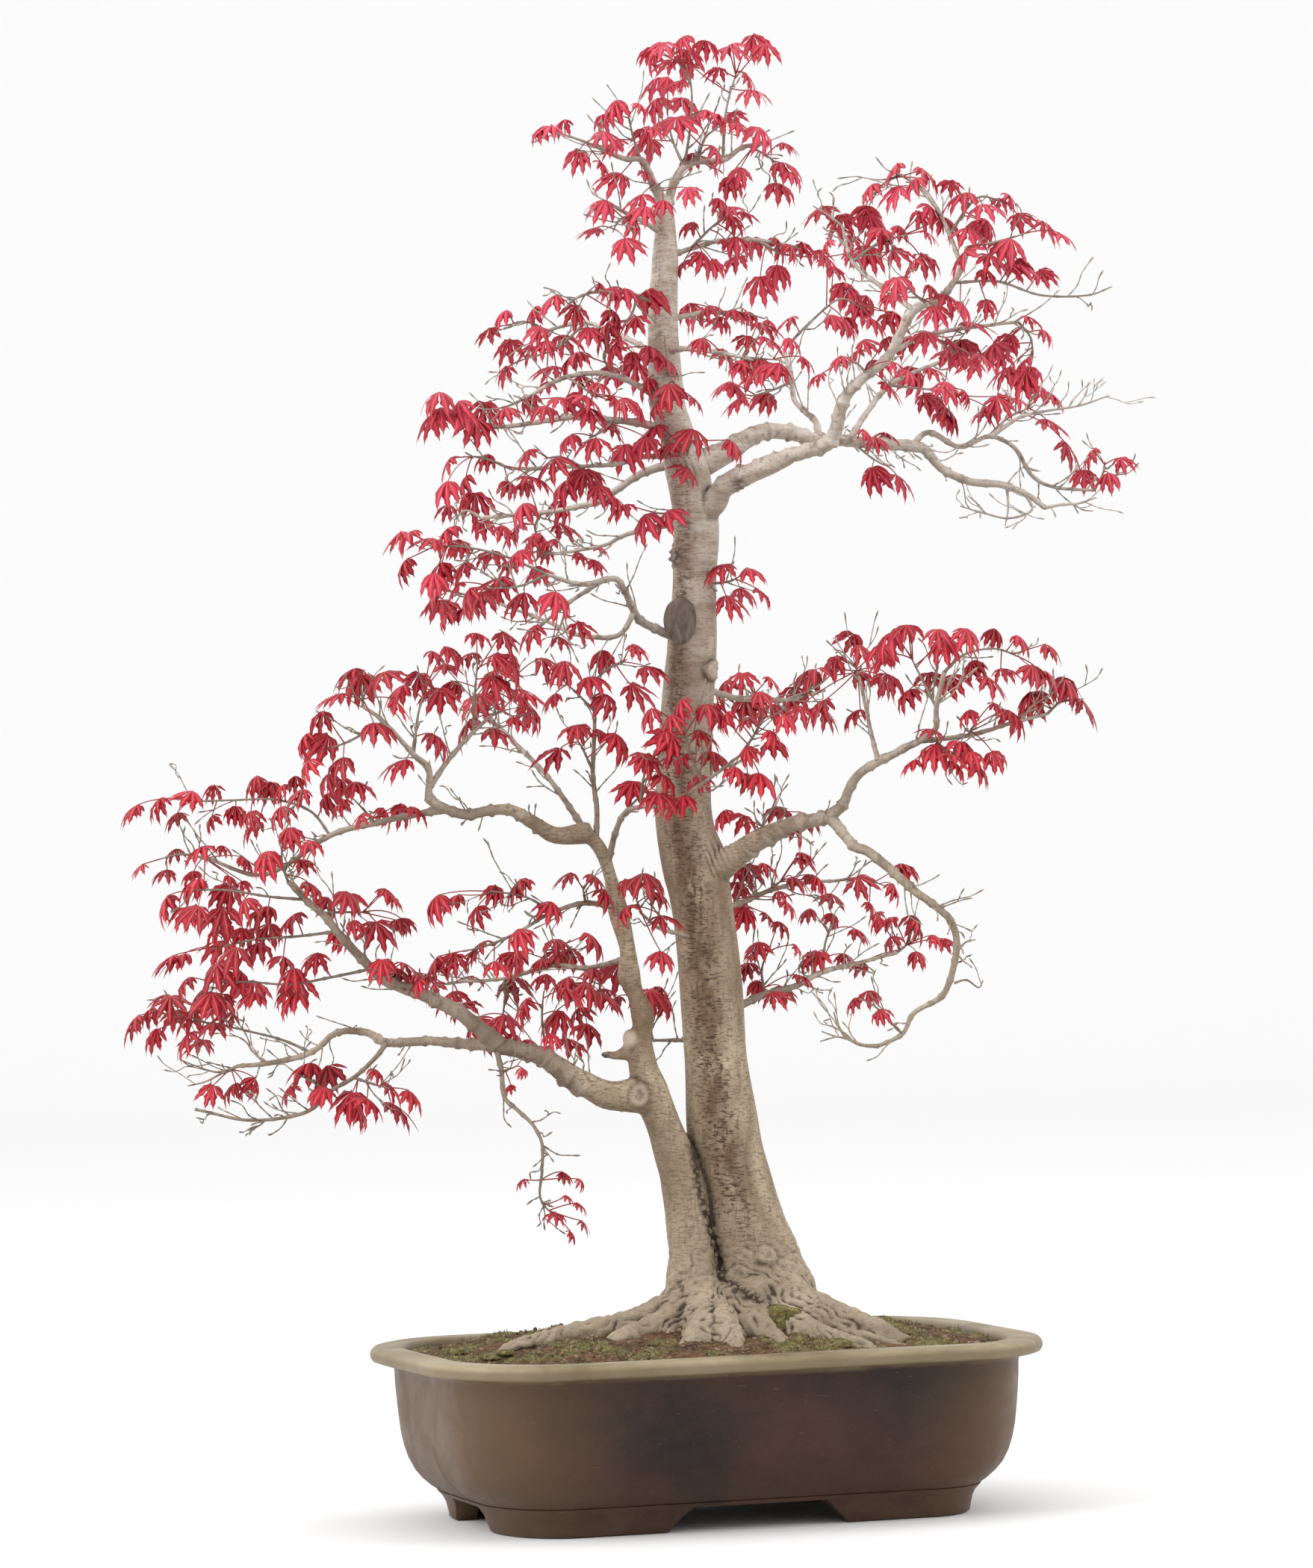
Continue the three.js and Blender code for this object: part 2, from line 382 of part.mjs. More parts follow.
// Leafy branchlets: the stem's route out of a branch, then where its leaves hang.
const sprays = {
  apex_far_left: [[[-73, 913, -38], [-90, 919, -46], [-102, 922, -52]],
    [[-107, 925], [-92, 930], [-82, 910], [-66, 922], [-68, 902]]],
  apex_left: [[[-41, 903, -18], [-46, 918, -28], [-50, 936, -36]],
    [[-57, 917], [-38, 924], [-42, 941], [-58, 943], [-40, 896], [-54, 894]]],
  apex_low: [[[-34, 890, -8], [-30, 884, -30], [-22, 882, -44]], [[-26, 876], [-40, 880], [-10, 884]]],
  apex_stem: [[[-12, 899, 8], [-20, 918, 22], [-24, 940, 36]],
    [[-27, 930], [-35, 918], [-30, 946], [-14, 946], [-23, 960]]],
  apex_tip: [[[-12, 899, 8], [-8, 925, -6], [-7, 950, -16], [-12, 972, -22]],
    [[-33, 979], [-21, 970], [-13, 986], [2, 984], [-14, 957], [3, 937]]],
  apex_tip_right: [[[14, 904, 18], [16, 936, 20], [24, 966, 26]],
    [[34, 988], [20, 982], [42, 982], [12, 966], [30, 962], [20, 936]]],
  apex_middle: [[[-3, 903, 12], [2, 918, -8], [12, 926, -22]],
    [[-17, 932], [-4, 934], [10, 934], [24, 928], [9, 912], [-6, 908]]],
  apex_right: [[[30, 913, 30], [42, 908, 44], [50, 902, 54]],
    [[54, 916], [52, 903], [50, 889], [26, 899], [18, 893], [38, 926]]],
  shoulder_left: [[[-48, 866, -22], [-56, 862, -34], [-60, 854, -42]],
    [[-64, 876], [-47, 866], [-38, 872], [-70, 858], [-52, 850]]],
  shoulder_right: [[[-8, 844, 14], [6, 858, 6], [16, 866, -4]],
    [[11, 878], [20, 866], [22, 852], [0, 842], [-12, 836], [-6, 862]]],
  shoulder_far: [[[36, 851, 46], [52, 842, 56], [64, 840, 68]],
    [[24, 840], [36, 853], [50, 852], [66, 849], [78, 844], [50, 834]]],
  crown_left_tip: [[[-74, 814, -44], [-84, 810, -52], [-92, 803, -60]],
    [[-69, 820], [-85, 805], [-60, 802], [-76, 790], [-98, 812]]],
  crown_left_near: [[[-44, 812, -18], [-46, 802, -34], [-52, 792, -44]],
    [[-52, 817], [-38, 815], [-62, 794], [-44, 798], [-58, 780]]],
  crown_back_tip: [[[-104, 790, 58], [-118, 796, 66], [-130, 794, 76]],
    [[-131, 804], [-112, 806], [-108, 792], [-95, 787], [-142, 792]]],
  crown_back_low: [[[-78, 795, 40], [-98, 778, 56], [-122, 770, 72]],
    [[-114, 780], [-130, 766], [-98, 766], [-82, 776], [-104, 756], [-128, 784]]],
  crown_low_mid: [[[-58, 758, -20], [-66, 771, -26], [-60, 782, -22]],
    [[-84, 774], [-56, 783], [-47, 775], [-36, 778], [-60, 765]]],
  crown_low_under: [[[-90, 757, -38], [-80, 750, -52], [-70, 742, -62]],
    [[-82, 758], [-70, 753], [-90, 745], [-59, 744], [-44, 737], [-76, 736]]],
  crown_low_tip: [[[-118, 743, -54], [-128, 738, -64], [-138, 735, -74]],
    [[-132, 736], [-117, 745], [-105, 737], [-96, 743], [-146, 740]]],
  trunk_high: [[[-26, 760, 0], [-22, 757, -28], [-16, 750, -40]],
    [[-24, 770], [-36, 757], [-22, 752], [-7, 744], [-30, 740]]],
  crown_front_tip: [[[8, 774, -46], [30, 770, -58], [52, 768, -72]],
    [[0, 783], [14, 776], [26, 768], [38, 770], [52, 766], [68, 770], [42, 784]]],
  crown_right_tip: [[[8, 802, 36], [26, 802, 50], [42, 798, 64]],
    [[-8, 808], [4, 806], [14, 799], [29, 803], [44, 797], [30, 786]]],
  crown_right_under: [[[60, 756, 98], [46, 750, 88], [32, 746, 76]],
    [[25, 745], [44, 749], [18, 756], [36, 762]]],
  trunk_fork: [[[-12, 700, 0], [-8, 712, -26], [-2, 716, -40]],
    [[-21, 713], [-6, 722], [-4, 701], [19, 715], [-30, 726]]],
  d_tip: [[[-148, 722, -76], [-162, 730, -86], [-174, 735, -94]],
    [[-180, 732], [-163, 740], [-152, 728], [-176, 746]]],
  d_near: [[[-60, 728, -24], [-68, 720, -44], [-76, 716, -58]],
    [[-88, 718], [-71, 716], [-61, 727], [-52, 712], [-38, 717]]],
  c_upper_tip: [[[-128, 695, -74], [-146, 702, -84], [-160, 703, -92]],
    [[-169, 702], [-143, 705], [-130, 687], [-116, 690], [-158, 690]]],
  c_upper_near: [[[-81, 697, -48], [-94, 703, -60], [-106, 702, -70]],
    [[-116, 708], [-99, 702], [-90, 688], [-78, 695], [-70, 684], [-58, 676]]],
  c_tip: [[[-148, 665, 98], [-158, 670, 110], [-166, 664, 122]],
    [[-170, 674], [-166, 660], [-148, 664], [-152, 682], [-134, 660]]],
  c_mid: [[[-108, 668, 76], [-112, 658, 92], [-108, 650, 106]],
    [[-120, 674], [-95, 676], [-124, 660], [-108, 654], [-96, 661]]],
  c_lower_tip: [[[-98, 640, 52], [-110, 642, 66], [-120, 637, 80]],
    [[-100, 650], [-126, 636], [-111, 632], [-84, 641], [-72, 636], [-114, 650]]],
  b_far: [[[-104, 624, -84], [-132, 636, -92], [-158, 642, -98], [-184, 643, -102]],
    [[-195, 652], [-180, 648], [-161, 647], [-198, 634], [-158, 632], [-140, 640], [-122, 640],
      [-174, 632]]],
  b_tip: [[[-104, 624, -84], [-122, 616, -98], [-144, 614, -112]],
    [[-108, 628], [-119, 612], [-134, 622], [-148, 612], [-163, 618], [-98, 612]]],
  b_side_tip: [[[-138, 607, 12], [-158, 612, 20], [-172, 616, 28]],
    [[-175, 622], [-178, 610], [-156, 604], [-144, 616]]],
  b_lower_tip: [[[-90, 605, -50], [-94, 592, -60], [-98, 582, -70]],
    [[-96, 583], [-112, 590], [-84, 592]]],
  trunk_middle: [[[-6, 668, 0], [-20, 666, -24], [-34, 666, -34]], [[-38, 665], [-23, 668], [-50, 672]]],
  trunk_right: [[[-5, 620, 0], [16, 620, -14], [26, 624, -24]],
    [[16, 611], [31, 629], [38, 615], [14, 632]]],
  back_tip: [[[56, 543, 108], [76, 552, 128], [88, 562, 142]],
    [[90, 572], [74, 564], [80, 538], [104, 562], [60, 552], [46, 540]]],
  back_low: [[[28, 543, 70], [34, 546, 92], [26, 552, 112]],
    [[29, 544], [45, 558], [16, 556], [10, 540]]],
  e_inner_tip: [[[94, 858, -64], [84, 866, -58], [74, 872, -52]],
    [[81, 872], [93, 866], [112, 866], [99, 852], [110, 845], [84, 848]]],
  e_inner_mid: [[[101, 834, -78], [118, 846, -92], [138, 852, -104]],
    [[118, 857], [132, 858], [149, 854], [161, 864], [128, 842], [146, 838]]],
  e_crest_tip: [[[134, 892, -88], [124, 888, -80], [116, 880, -70]],
    [[131, 900], [132, 884], [114, 886], [110, 872], [148, 896]]],
  e_crest_right: [[[166, 852, -112], [184, 876, -104], [202, 874, -96]],
    [[166, 888], [177, 880], [188, 872], [205, 879], [211, 866], [190, 862]]],
  e_tip: [[[178, 843, -122], [196, 846, -134], [218, 852, -146]],
    [[178, 856], [207, 848], [228, 860], [240, 852], [176, 840], [192, 838], [204, 832]]],
  e_long: [[[168, 819, -116], [198, 820, -114], [227, 811, -106], [258, 811, -98], [275, 817, -94]],
    [[212, 832], [226, 828], [190, 808], [173, 806], [190, 828]]],
  e_near: [[[151, 804, -109], [140, 814, -122], [136, 824, -134]],
    [[131, 822], [142, 834], [152, 818], [127, 812], [156, 803]]],
  e_rise_tip: [[[55, 778, 110], [72, 796, 118], [92, 812, 124], [108, 806, 134]],
    [[88, 834], [98, 820], [110, 815], [86, 801], [97, 800], [112, 800], [124, 803], [60, 800]]],
  e_over_near: [[[150, 784, -82], [168, 778, -70], [184, 770, -60]],
    [[178, 794], [150, 787], [138, 784], [164, 782], [172, 772], [186, 772]]],
  e_over_tip: [[[212, 794, -44], [220, 784, -34], [222, 772, -24]],
    [[217, 798], [228, 789], [206, 786], [196, 777], [218, 770], [206, 764]]],
  e_lower_near: [[[111, 758, -92], [102, 766, -108], [90, 764, -120]],
    [[93, 770], [80, 758], [104, 774], [116, 768], [128, 766], [123, 753]]],
  e_far_tip: [[[262, 684, 144], [268, 694, 152], [270, 704, 160]],
    [[256, 698], [272, 696], [262, 712], [280, 706]]],
  e_far_middle: [[[192, 720, 118], [206, 733, 124], [222, 740, 130]],
    [[190, 738], [210, 746], [230, 732], [232, 750], [243, 716]]],
  e_back_mid: [[[126, 754, 116], [144, 752, 104], [162, 750, 96]],
    [[138, 764], [152, 766], [148, 748], [164, 756], [176, 750], [162, 740], [190, 740]]],
  a_up_tip: [[[-227, 535, -114], [-228, 548, -120]],
    [[-232, 561], [-213, 558], [-241, 544], [-206, 540], [-220, 524]]],
  a_up_rise: [[[-193, 503, -102], [-190, 530, -92], [-184, 552, -82]],
    [[-181, 573], [-189, 558], [-175, 548], [-172, 564], [-180, 517], [-198, 500], [-200, 550]]],
  a_up_left: [[[-213, 525, -110], [-236, 512, -104], [-254, 506, -96]],
    [[-265, 517], [-250, 516], [-240, 501], [-264, 499]]],
  a_inner_rise: [[[-153, 519, -68], [-152, 545, -72], [-150, 568, -76]],
    [[-164, 553], [-141, 556], [-151, 585], [-154, 572], [-134, 586], [-140, 570]]],
  a_inner_tip: [[[-141, 530, -60], [-132, 534, -52]],
    [[-156, 527], [-140, 522], [-126, 529], [-124, 544]]],
  a_long_tip: [[[-146, 530, 54], [-138, 548, 64], [-122, 560, 74]],
    [[-127, 573], [-122, 550], [-108, 570], [-116, 539], [-150, 546], [-140, 562]]],
  a_rise_left: [[[-72, 533, -44], [-84, 545, -58], [-94, 554, -70]],
    [[-92, 566], [-98, 545], [-76, 556], [-64, 544]]],
  a_rise_tip: [[[-76, 550, -50], [-62, 562, -44], [-50, 568, -36]],
    [[-46, 578], [-38, 563], [-48, 551], [-66, 574]]],
  a_rise_low: [[[-73, 493, -32], [-80, 508, -48], [-84, 514, -60]],
    [[-70, 521], [-82, 524], [-95, 508], [-58, 518]]],
  a_cross_near: [[[-41, 469, -52], [-40, 484, -64], [-36, 498, -72]],
    [[-38, 504], [-26, 490], [-46, 486], [-31, 479], [-22, 502]]],
  a_cross_middle: [[[0, 484, -80], [-8, 505, -90], [-12, 524, -98]],
    [[-34, 534], [-14, 540], [3, 537], [-20, 516], [-2, 520], [6, 506], [-12, 503], [-12, 476]]],
  a_cross_tip: [[[26, 503, -94], [36, 518, -102], [42, 530, -108]],
    [[17, 532], [30, 528], [46, 519], [54, 529], [30, 508], [22, 495], [38, 491], [38, 545]]],
  f_right_near: [[[40, 449, -36], [42, 462, -24], [50, 470, -14]],
    [[16, 467], [28, 464], [52, 470], [66, 466]]],
  a_far_tip: [[[-328, 434, -8], [-348, 438, 0], [-366, 434, 8]],
    [[-375, 431], [-352, 442], [-358, 428], [-334, 443], [-322, 444], [-340, 427], [-308, 436],
      [-317, 424]]],
  a_far_high: [[[-249, 450, -50], [-262, 466, -42], [-285, 474, -28], [-312, 474, -16], [-345, 473, -4]],
    [[-378, 471], [-362, 476], [-341, 480], [-326, 484], [-351, 466], [-328, 464], [-312, 470],
      [-298, 490], [-280, 484], [-267, 481], [-282, 469], [-297, 459], [-251, 478]]],
  a_far_near: [[[-219, 458, -70], [-226, 466, -84], [-236, 476, -98]],
    [[-228, 463], [-213, 468], [-202, 471], [-240, 473], [-232, 485], [-250, 490]]],
  h_up_tip: [[[-277, 418, -93], [-281, 430, -100], [-281, 444, -106]],
    [[-269, 433], [-264, 418], [-291, 438], [-276, 454]]],
  h_left_high: [[[-265, 406, -88], [-290, 408, -100], [-318, 412, -112], [-344, 412, -124]],
    [[-336, 420], [-316, 416], [-306, 406], [-320, 401], [-358, 408], [-290, 402], [-345, 400]]],
  h_left_middle: [[[-244, 385, -84], [-270, 382, -66], [-300, 380, -46], [-328, 374, -28]],
    [[-322, 391], [-308, 388], [-289, 391], [-297, 378], [-320, 380], [-346, 371], [-325, 364],
      [-280, 369], [-273, 397]]],
  h_inner: [[[-254, 397, -86], [-240, 398, -72], [-222, 398, -58]],
    [[-250, 408], [-236, 410], [-213, 412], [-234, 392], [-243, 386], [-218, 392], [-205, 393]]],
  h_up_low: [[[-211, 351, -76], [-208, 360, -90]], [[-214, 366], [-200, 364]]],
  h_stub: [[[-221, 360, -78], [-251, 354, -64], [-276, 350, -50], [-304, 352, -36], [-332, 352, -24]],
    [[-257, 371], [-273, 361], [-278, 346], [-308, 359], [-299, 345], [-344, 355], [-334, 347],
      [-321, 344]]],
  h_mid_rise: [[[-262, 306, 24], [-280, 314, 36], [-302, 320, 46], [-330, 326, 56], [-352, 328, 66]],
    [[-325, 341], [-356, 344], [-367, 336], [-378, 331], [-352, 335], [-339, 336], [-326, 326],
      [-364, 322], [-344, 319], [-334, 315], [-314, 332]]],
  h_mid_tip: [[[-311, 297, 54], [-320, 292, 60]], [[-312, 286], [-299, 289], [-327, 284]]],
  h_end_near: [[[-233, 288, -38], [-222, 284, -52], [-208, 280, -64]],
    [[-234, 278], [-224, 274], [-211, 284], [-208, 271], [-196, 279], [-220, 294]]],
  h_end_rise: [[[-250, 278, -48], [-262, 286, -40], [-270, 290, -30]],
    [[-262, 298], [-250, 296], [-256, 282], [-276, 282]]],
  m_front_tip: [[[-125, 383, -86], [-142, 376, -94], [-160, 371, -100]],
    [[-125, 371], [-148, 377], [-139, 365], [-165, 370], [-123, 386], [-177, 368], [-184, 356]]],
  m_front_rise: [[[-100, 398, -66], [-118, 408, -80], [-142, 412, -92]],
    [[-163, 410], [-137, 415], [-122, 420], [-101, 405], [-150, 402], [-177, 409]]],
  m_front_near: [[[-78, 405, -42], [-80, 416, -56]], [[-88, 425], [-74, 424], [-66, 414]]],
  m_back_tip: [[[-163, 354, 90], [-176, 352, 102]],
    [[-179, 354], [-167, 348], [-153, 358], [-160, 340], [-190, 360]]],
  m_back_rise: [[[-100, 364, 42], [-96, 374, 56], [-88, 382, 68]],
    [[-107, 369], [-98, 382], [-88, 376], [-76, 386], [-120, 374]]],
  m_back_near: [[[-75, 362, 14], [-80, 350, 28], [-84, 340, 40]],
    [[-90, 356], [-73, 362], [-97, 334], [-83, 336], [-77, 325], [-68, 346]]],
  m_back_low: [[[-132, 356, 68], [-132, 342, 80], [-134, 328, 90]],
    [[-128, 357], [-132, 332], [-140, 319], [-126, 319], [-150, 330]]],
  between_tip: [[[-41, 398, -52], [-45, 410, -62]],
    [[-50, 420], [-39, 424], [-32, 412], [-51, 402], [-28, 396], [-28, 372]]],
  low_between_tip: [[[-33, 314, 36], [-37, 332, 44], [-40, 346, 52]],
    [[-36, 348], [-26, 345], [-56, 344], [-54, 366]]],
  h_rise: [[[-104, 303, -52], [-107, 326, -64], [-106, 345, -74]],
    [[-102, 317], [-90, 314], [-95, 332], [-118, 340], [-104, 357], [-92, 347]]],
  i_tip: [[[-107, 224, -98], [-108, 206, -103], [-98, 193, -108]],
    [[-93, 224], [-82, 219], [-91, 208], [-98, 196], [-88, 184], [-80, 191], [-119, 219]]],
  i_near: [[[-134, 291, -72], [-126, 294, -86]], [[-120, 293], [-128, 283]]],
  f_up_tip: [[[162, 558, -117], [176, 570, -108], [196, 574, -98], [214, 568, -90]],
    [[196, 588], [211, 583], [177, 587], [181, 566], [200, 561], [222, 563], [230, 577]]],
  f_up_left: [[[157, 534, -110], [148, 552, -104], [138, 572, -98]],
    [[140, 590], [127, 585], [159, 578], [152, 558], [139, 547], [165, 556], [124, 570]]],
  f_far_tip: [[[231, 531, -54], [242, 542, -46]], [[243, 554], [230, 560], [254, 541], [221, 546]]],
  f_far_middle: [[[178, 516, -84], [184, 526, -98]], [[195, 538], [179, 533], [206, 533], [194, 505]]],
  f_far_near: [[[156, 513, -96], [164, 505, -108]], [[168, 499], [143, 500], [184, 496], [154, 520]]],
  f_rise_tip: [[[105, 556, -62], [102, 566, -54]],
    [[104, 577], [119, 577], [90, 570], [77, 561], [82, 540], [106, 534], [120, 556]]],
  f_down_low: [[[134, 316, -102], [124, 326, -114], [114, 336, -122]],
    [[111, 345], [102, 340], [119, 332]]],
  g_back_tip: [[[130, 374, 130], [140, 382, 144]],
    [[143, 375], [126, 385], [142, 396], [108, 368], [118, 398], [154, 386]]],
  g_back_middle: [[[81, 361, 78], [82, 378, 92], [86, 392, 106]],
    [[95, 373], [78, 374], [87, 400], [72, 403], [102, 390]]],
  g_back_near: [[[42, 345, 32], [40, 362, 46], [46, 378, 58]],
    [[38, 354], [52, 351], [64, 358], [31, 366], [38, 380], [63, 378], [51, 394]]],
  g_high_tip: [[[88, 422, 124], [106, 424, 136], [120, 420, 146]],
    [[104, 425], [127, 420], [86, 414], [112, 408], [132, 434]]],
  g_high_near: [[[22, 404, 34], [27, 418, 48]], [[23, 420], [29, 432], [40, 433], [28, 403], [43, 399]]],
  g_high_middle: [[[44, 414, 64], [56, 424, 76]], [[51, 414], [60, 424], [76, 424], [64, 437]]],
};

const rad = THREE.MathUtils.degToRad;

// A leaf's shape: five lobes that hang from the hub like a half-closed umbrella. The rim runs
// anticlockwise from one side of the stalk to the other.
function leafForm(foot, hub, turnBy, droop) {
  const outward = hub.clone().sub(foot).normalize();
  const up = new THREE.Vector3(0.15, 0.1, 1).normalize();
  const normal = up.clone().addScaledVector(outward, -up.dot(outward));
  if (normal.length() < 0.2) normal.set(0, -1, 0).addScaledVector(outward, outward.y);
  normal.normalize();
  const side = normal.clone().cross(outward);
  const at = (reach, degrees, lift = 0) => {
    const sink = (droop * reach * reach) / leafReach + reach * Math.cos(rad(degrees)) * 0.35;
    return hub.clone()
      .addScaledVector(outward, reach * Math.cos(rad(degrees)))
      .addScaledVector(side, reach * Math.sin(rad(degrees)))
      .addScaledVector(normal, lift - sink);
  };
  const lobes = [[-82, 0.62], [-40, 0.9], [0, 1], [40, 0.9], [82, 0.62]];
  const rim = [at(2.4, -125)];
  lobes.forEach(([degrees, share], k) => {
    if (k > 0) rim.push(at(leafReach * 0.34, turnBy + degrees - 21));
    rim.push(at(leafReach * share, turnBy + degrees));
  });
  rim.push(at(2.4, 125));
  const top = at(0, 0, leafThickness / 2);
  const under = at(0, 0, -leafThickness / 2);
  return { foot, hub, outward, side, normal, rim, top, under };
}

// Joins a leaf's skin to the three corners its stalk grows from, given anticlockwise.
function joinLeaf(points, index, form, corners) {
  const start = points.length;
  points.push(...form.rim, form.top, form.under);
  const last = start + form.rim.length - 1;
  const top = last + 1;
  const under = last + 2;
  for (let i = start; i < last; i += 1) index.push(top, i, i + 1, under, i + 1, i);
  const centre = middleOf(corners.map((corner) => points[corner]));
  const angles = corners.map((corner) => {
    const offset = points[corner].clone().sub(centre);
    return Math.atan2(offset.dot(form.normal), offset.dot(form.side));
  });
  const fit = (shift) => [30, 150, 270]
    .reduce((sum, angle, k) => sum + Math.cos(angles[(k + shift) % 3] - rad(angle)), 0);
  const shift = [0, 1, 2].sort((a, b) => fit(b) - fit(a))[0];
  const [left, right, below] = [0, 1, 2].map((k) => corners[(k + shift) % 3]);
  index.push(top, last, left, top, left, right, top, right, start, under, left, last,
    under, below, left, under, right, below, under, start, right);
}

// A leaf with its stalk as a solid of its own, to find out what it would touch. A short one
// leaves out the stalk.
function leafSolid(form, short) {
  const root = short ? form.hub.clone().addScaledVector(form.outward, -3) : form.foot;
  const points = [30, 150, 270].map((degrees) => root.clone()
    .addScaledVector(form.side, stalkRadius * Math.cos(rad(degrees)))
    .addScaledVector(form.normal, stalkRadius * Math.sin(rad(degrees))));
  const index = [1, 0, 2];
  joinLeaf(points, index, form, [0, 1, 2]);
  return toSolid(fromTriangles(points, index));
}

// A spray: a three-sided stem with a pair of rings at each leaf, whose stalk grows out of one
// face between them. The last leaf may grow out of the stem's end. A branch that the spray
// continues leads into it with the same three sides.
function spraySolid(route, leaves, lead = []) {
  const length = lengthOf(route);
  const order = [...leaves].sort((a, b) => a.reach - b.reach);
  const end = order[order.length - 1];
  const endAlong = alongAt(route, end.reach);
  const crowned = end.form.outward.dot(endAlong) > 0.35;
  const stations = [...lead, { reach: 0 }];
  order.forEach((leaf) => {
    if (leaf === end && crowned) stations.push({ reach: leaf.reach });
    else stations.push({ reach: leaf.reach - 0.8, face: leaf.form }, { reach: leaf.reach + 0.8 });
  });
  const points = [];
  const index = [];
  let normal = new THREE.Vector3(0.1, 0.2, 1);
  let turn = 0;
  stations.forEach(({ reach, face, spot }, r) => {
    const along = spot ? spot.along : alongAt(route, reach);
    normal = normal.clone().addScaledVector(along, -normal.dot(along)).normalize();
    const across = along.clone().cross(normal);
    let facing = 0;
    if (face) {
      const wanted = Math.atan2(face.outward.dot(across), face.outward.dot(normal)) - Math.PI / 3;
      const third = (2 * Math.PI) / 3;
      facing = Math.round((wanted - turn) / third);
      turn = wanted - facing * third;
      facing = ((facing % 3) + 3) % 3;
    }
    const radius = spot ? spot.radius : stemRadius * (1 - (0.3 * reach) / length);
    const centre = spot ? spot.centre : pointAt(route, reach);
    for (let k = 0; k < 3; k += 1) {
      const angle = turn + (2 * Math.PI * k) / 3;
      points.push(centre.clone()
        .addScaledVector(normal, radius * Math.cos(angle))
        .addScaledVector(across, radius * Math.sin(angle)));
    }
    stations[r].facing = facing;
  });
  stations.forEach(({ face, facing }, r) => {
    if (r === stations.length - 1) return;
    for (let k = 0; k < 3; k += 1) {
      const a = r * 3 + k;
      const b = r * 3 + ((k + 1) % 3);
      index.push(a, b, b + 3);
      if (face && k === facing) joinLeaf(points, index, face, [a, b + 3, a + 3]);
      else index.push(a, b + 3, a + 3);
    }
  });
  index.push(0, 2, 1);
  const top = (stations.length - 1) * 3;
  if (crowned) joinLeaf(points, index, end.form, [top, top + 1, top + 2]);
  else index.push(top, top + 1, top + 2);
  return toSolid(fromTriangles(points, index));
}

// The rings of a fine branch, up to the last, that lead into the spray at its end.
function leadOf(name) {
  const [thick, thin, route] = branches[name];
  const points = route.map(place);
  return points.slice(0, -1).map((centre, k) => ({
    spot: {
      centre,
      along: points[k + 1].clone().sub(points[Math.max(k - 1, 0)]).normalize(),
      radius: thick + ((thin - thick) * k) / (route.length - 1),
    },
  }));
}

function lengthOf(route) {
  return route.reduce((sum, point, k) => (k ? sum + point.distanceTo(route[k - 1]) : 0), 0);
}

function segmentAt(route, reach) {
  let left = reach;
  for (let k = 0; k < route.length - 2; k += 1) {
    const step = route[k].distanceTo(route[k + 1]);
    if (left <= step) return [route[k], route[k + 1], left / step];
    left -= step;
  }
  const [a, b] = route.slice(-2);
  return [a, b, left / a.distanceTo(b)];
}

function pointAt(route, reach) {
  const [a, b, share] = segmentAt(route, reach);
  return a.clone().lerp(b, share);
}

function alongAt(route, reach) {
  const [a, b] = segmentAt(route, reach);
  return b.clone().sub(a).normalize();
}

// Branches whose stems belong to the trunk's wood. The finer ones carry their own sprays.
const boughs = ['e_lower', 'e_upper', 'a_out', 'h_low', 'h_mid', 'f_right', 'f_down', 'f_up'];

function makeWood(grow = 0) {
  const limbs = [limbOf('trunk', 12, grow), limbOf('second_trunk', 9, grow)];
  roots.forEach((rows) => limbs.push(stem(rows.map(place), rows.map((row) => row[3]), 5, 0, grow)));
  boughs.forEach((name) => limbs.push(limbOf(name, branches[name][0] > 4 ? 6 : 5, grow)));
  return wasm.Manifold.union(limbs).simplify(0.1);
}

// Which branch a spray springs from: the one whose route passes nearest to its foot.
function parentOf(foot, self = '') {
  let best = null;
  let bestGap = Infinity;
  const fine = Object.keys(branches).filter((name) => !boughs.includes(name));
  [...Object.keys(stout), ...boughs, ...fine].forEach((name) => {
    if (name === self) return;
    const route = (stout[name] || branches[name][2]).map(place);
    for (let k = 0; k < route.length - 1; k += 1) {
      const nearest = new THREE.Line3(route[k], route[k + 1])
        .closestPointToPoint(foot, true, new THREE.Vector3());
      const gap = nearest.distanceTo(foot);
      if (gap < bestGap - 1) {
        bestGap = gap;
        best = { name, nearest };
      }
    }
  });
  return best;
}

// What has its place already: each entry is a solid, its box and the node it belongs to.
const placed = [];
function boxOf(solid) {
  const box = solid.boundingBox();
  return new THREE.Box3(new THREE.Vector3(...box.min), new THREE.Vector3(...box.max));
}
function keep(solid, node, kind) {
  placed.push({ solid, node, kind, box: boxOf(solid) });
}
// A stem may start inside the wood, and a leaf's stalk in its own spray's stem.
function isClear(solid, node, kind) {
  const box = boxOf(solid).expandByScalar(airGap);
  return placed.every((other) => {
    if (!other.box.intersectsBox(box)) return true;
    if (kind === 'stem' && (other.kind === 'wood' || other.node === node)) return true;
    if (kind === 'leaf' && other.kind === 'stem' && other.node === node) return true;
    return other.solid.minGap(solid, airGap * 2) > airGap;
  });
}

// Moves a stem's outer part towards or away from the viewer until it clears its neighbours.
function clearStem(route, first, node) {
  for (const shift of [0, -7, 7, -14, 14, -21, 21, -28, 28]) {
    const points = route.map(([x, z, y], k) => place([x, z, y + (shift * k) / (route.length - 1)]));
    points[0].copy(first);
    const radii = points.map((p, k) => stemRadius * (1 - (0.3 * k) / (points.length - 1)));
    const solid = stem(points, radii, 3);
    if (isClear(solid, node, 'stem')) return { solid, points };
  }
  return null;
}

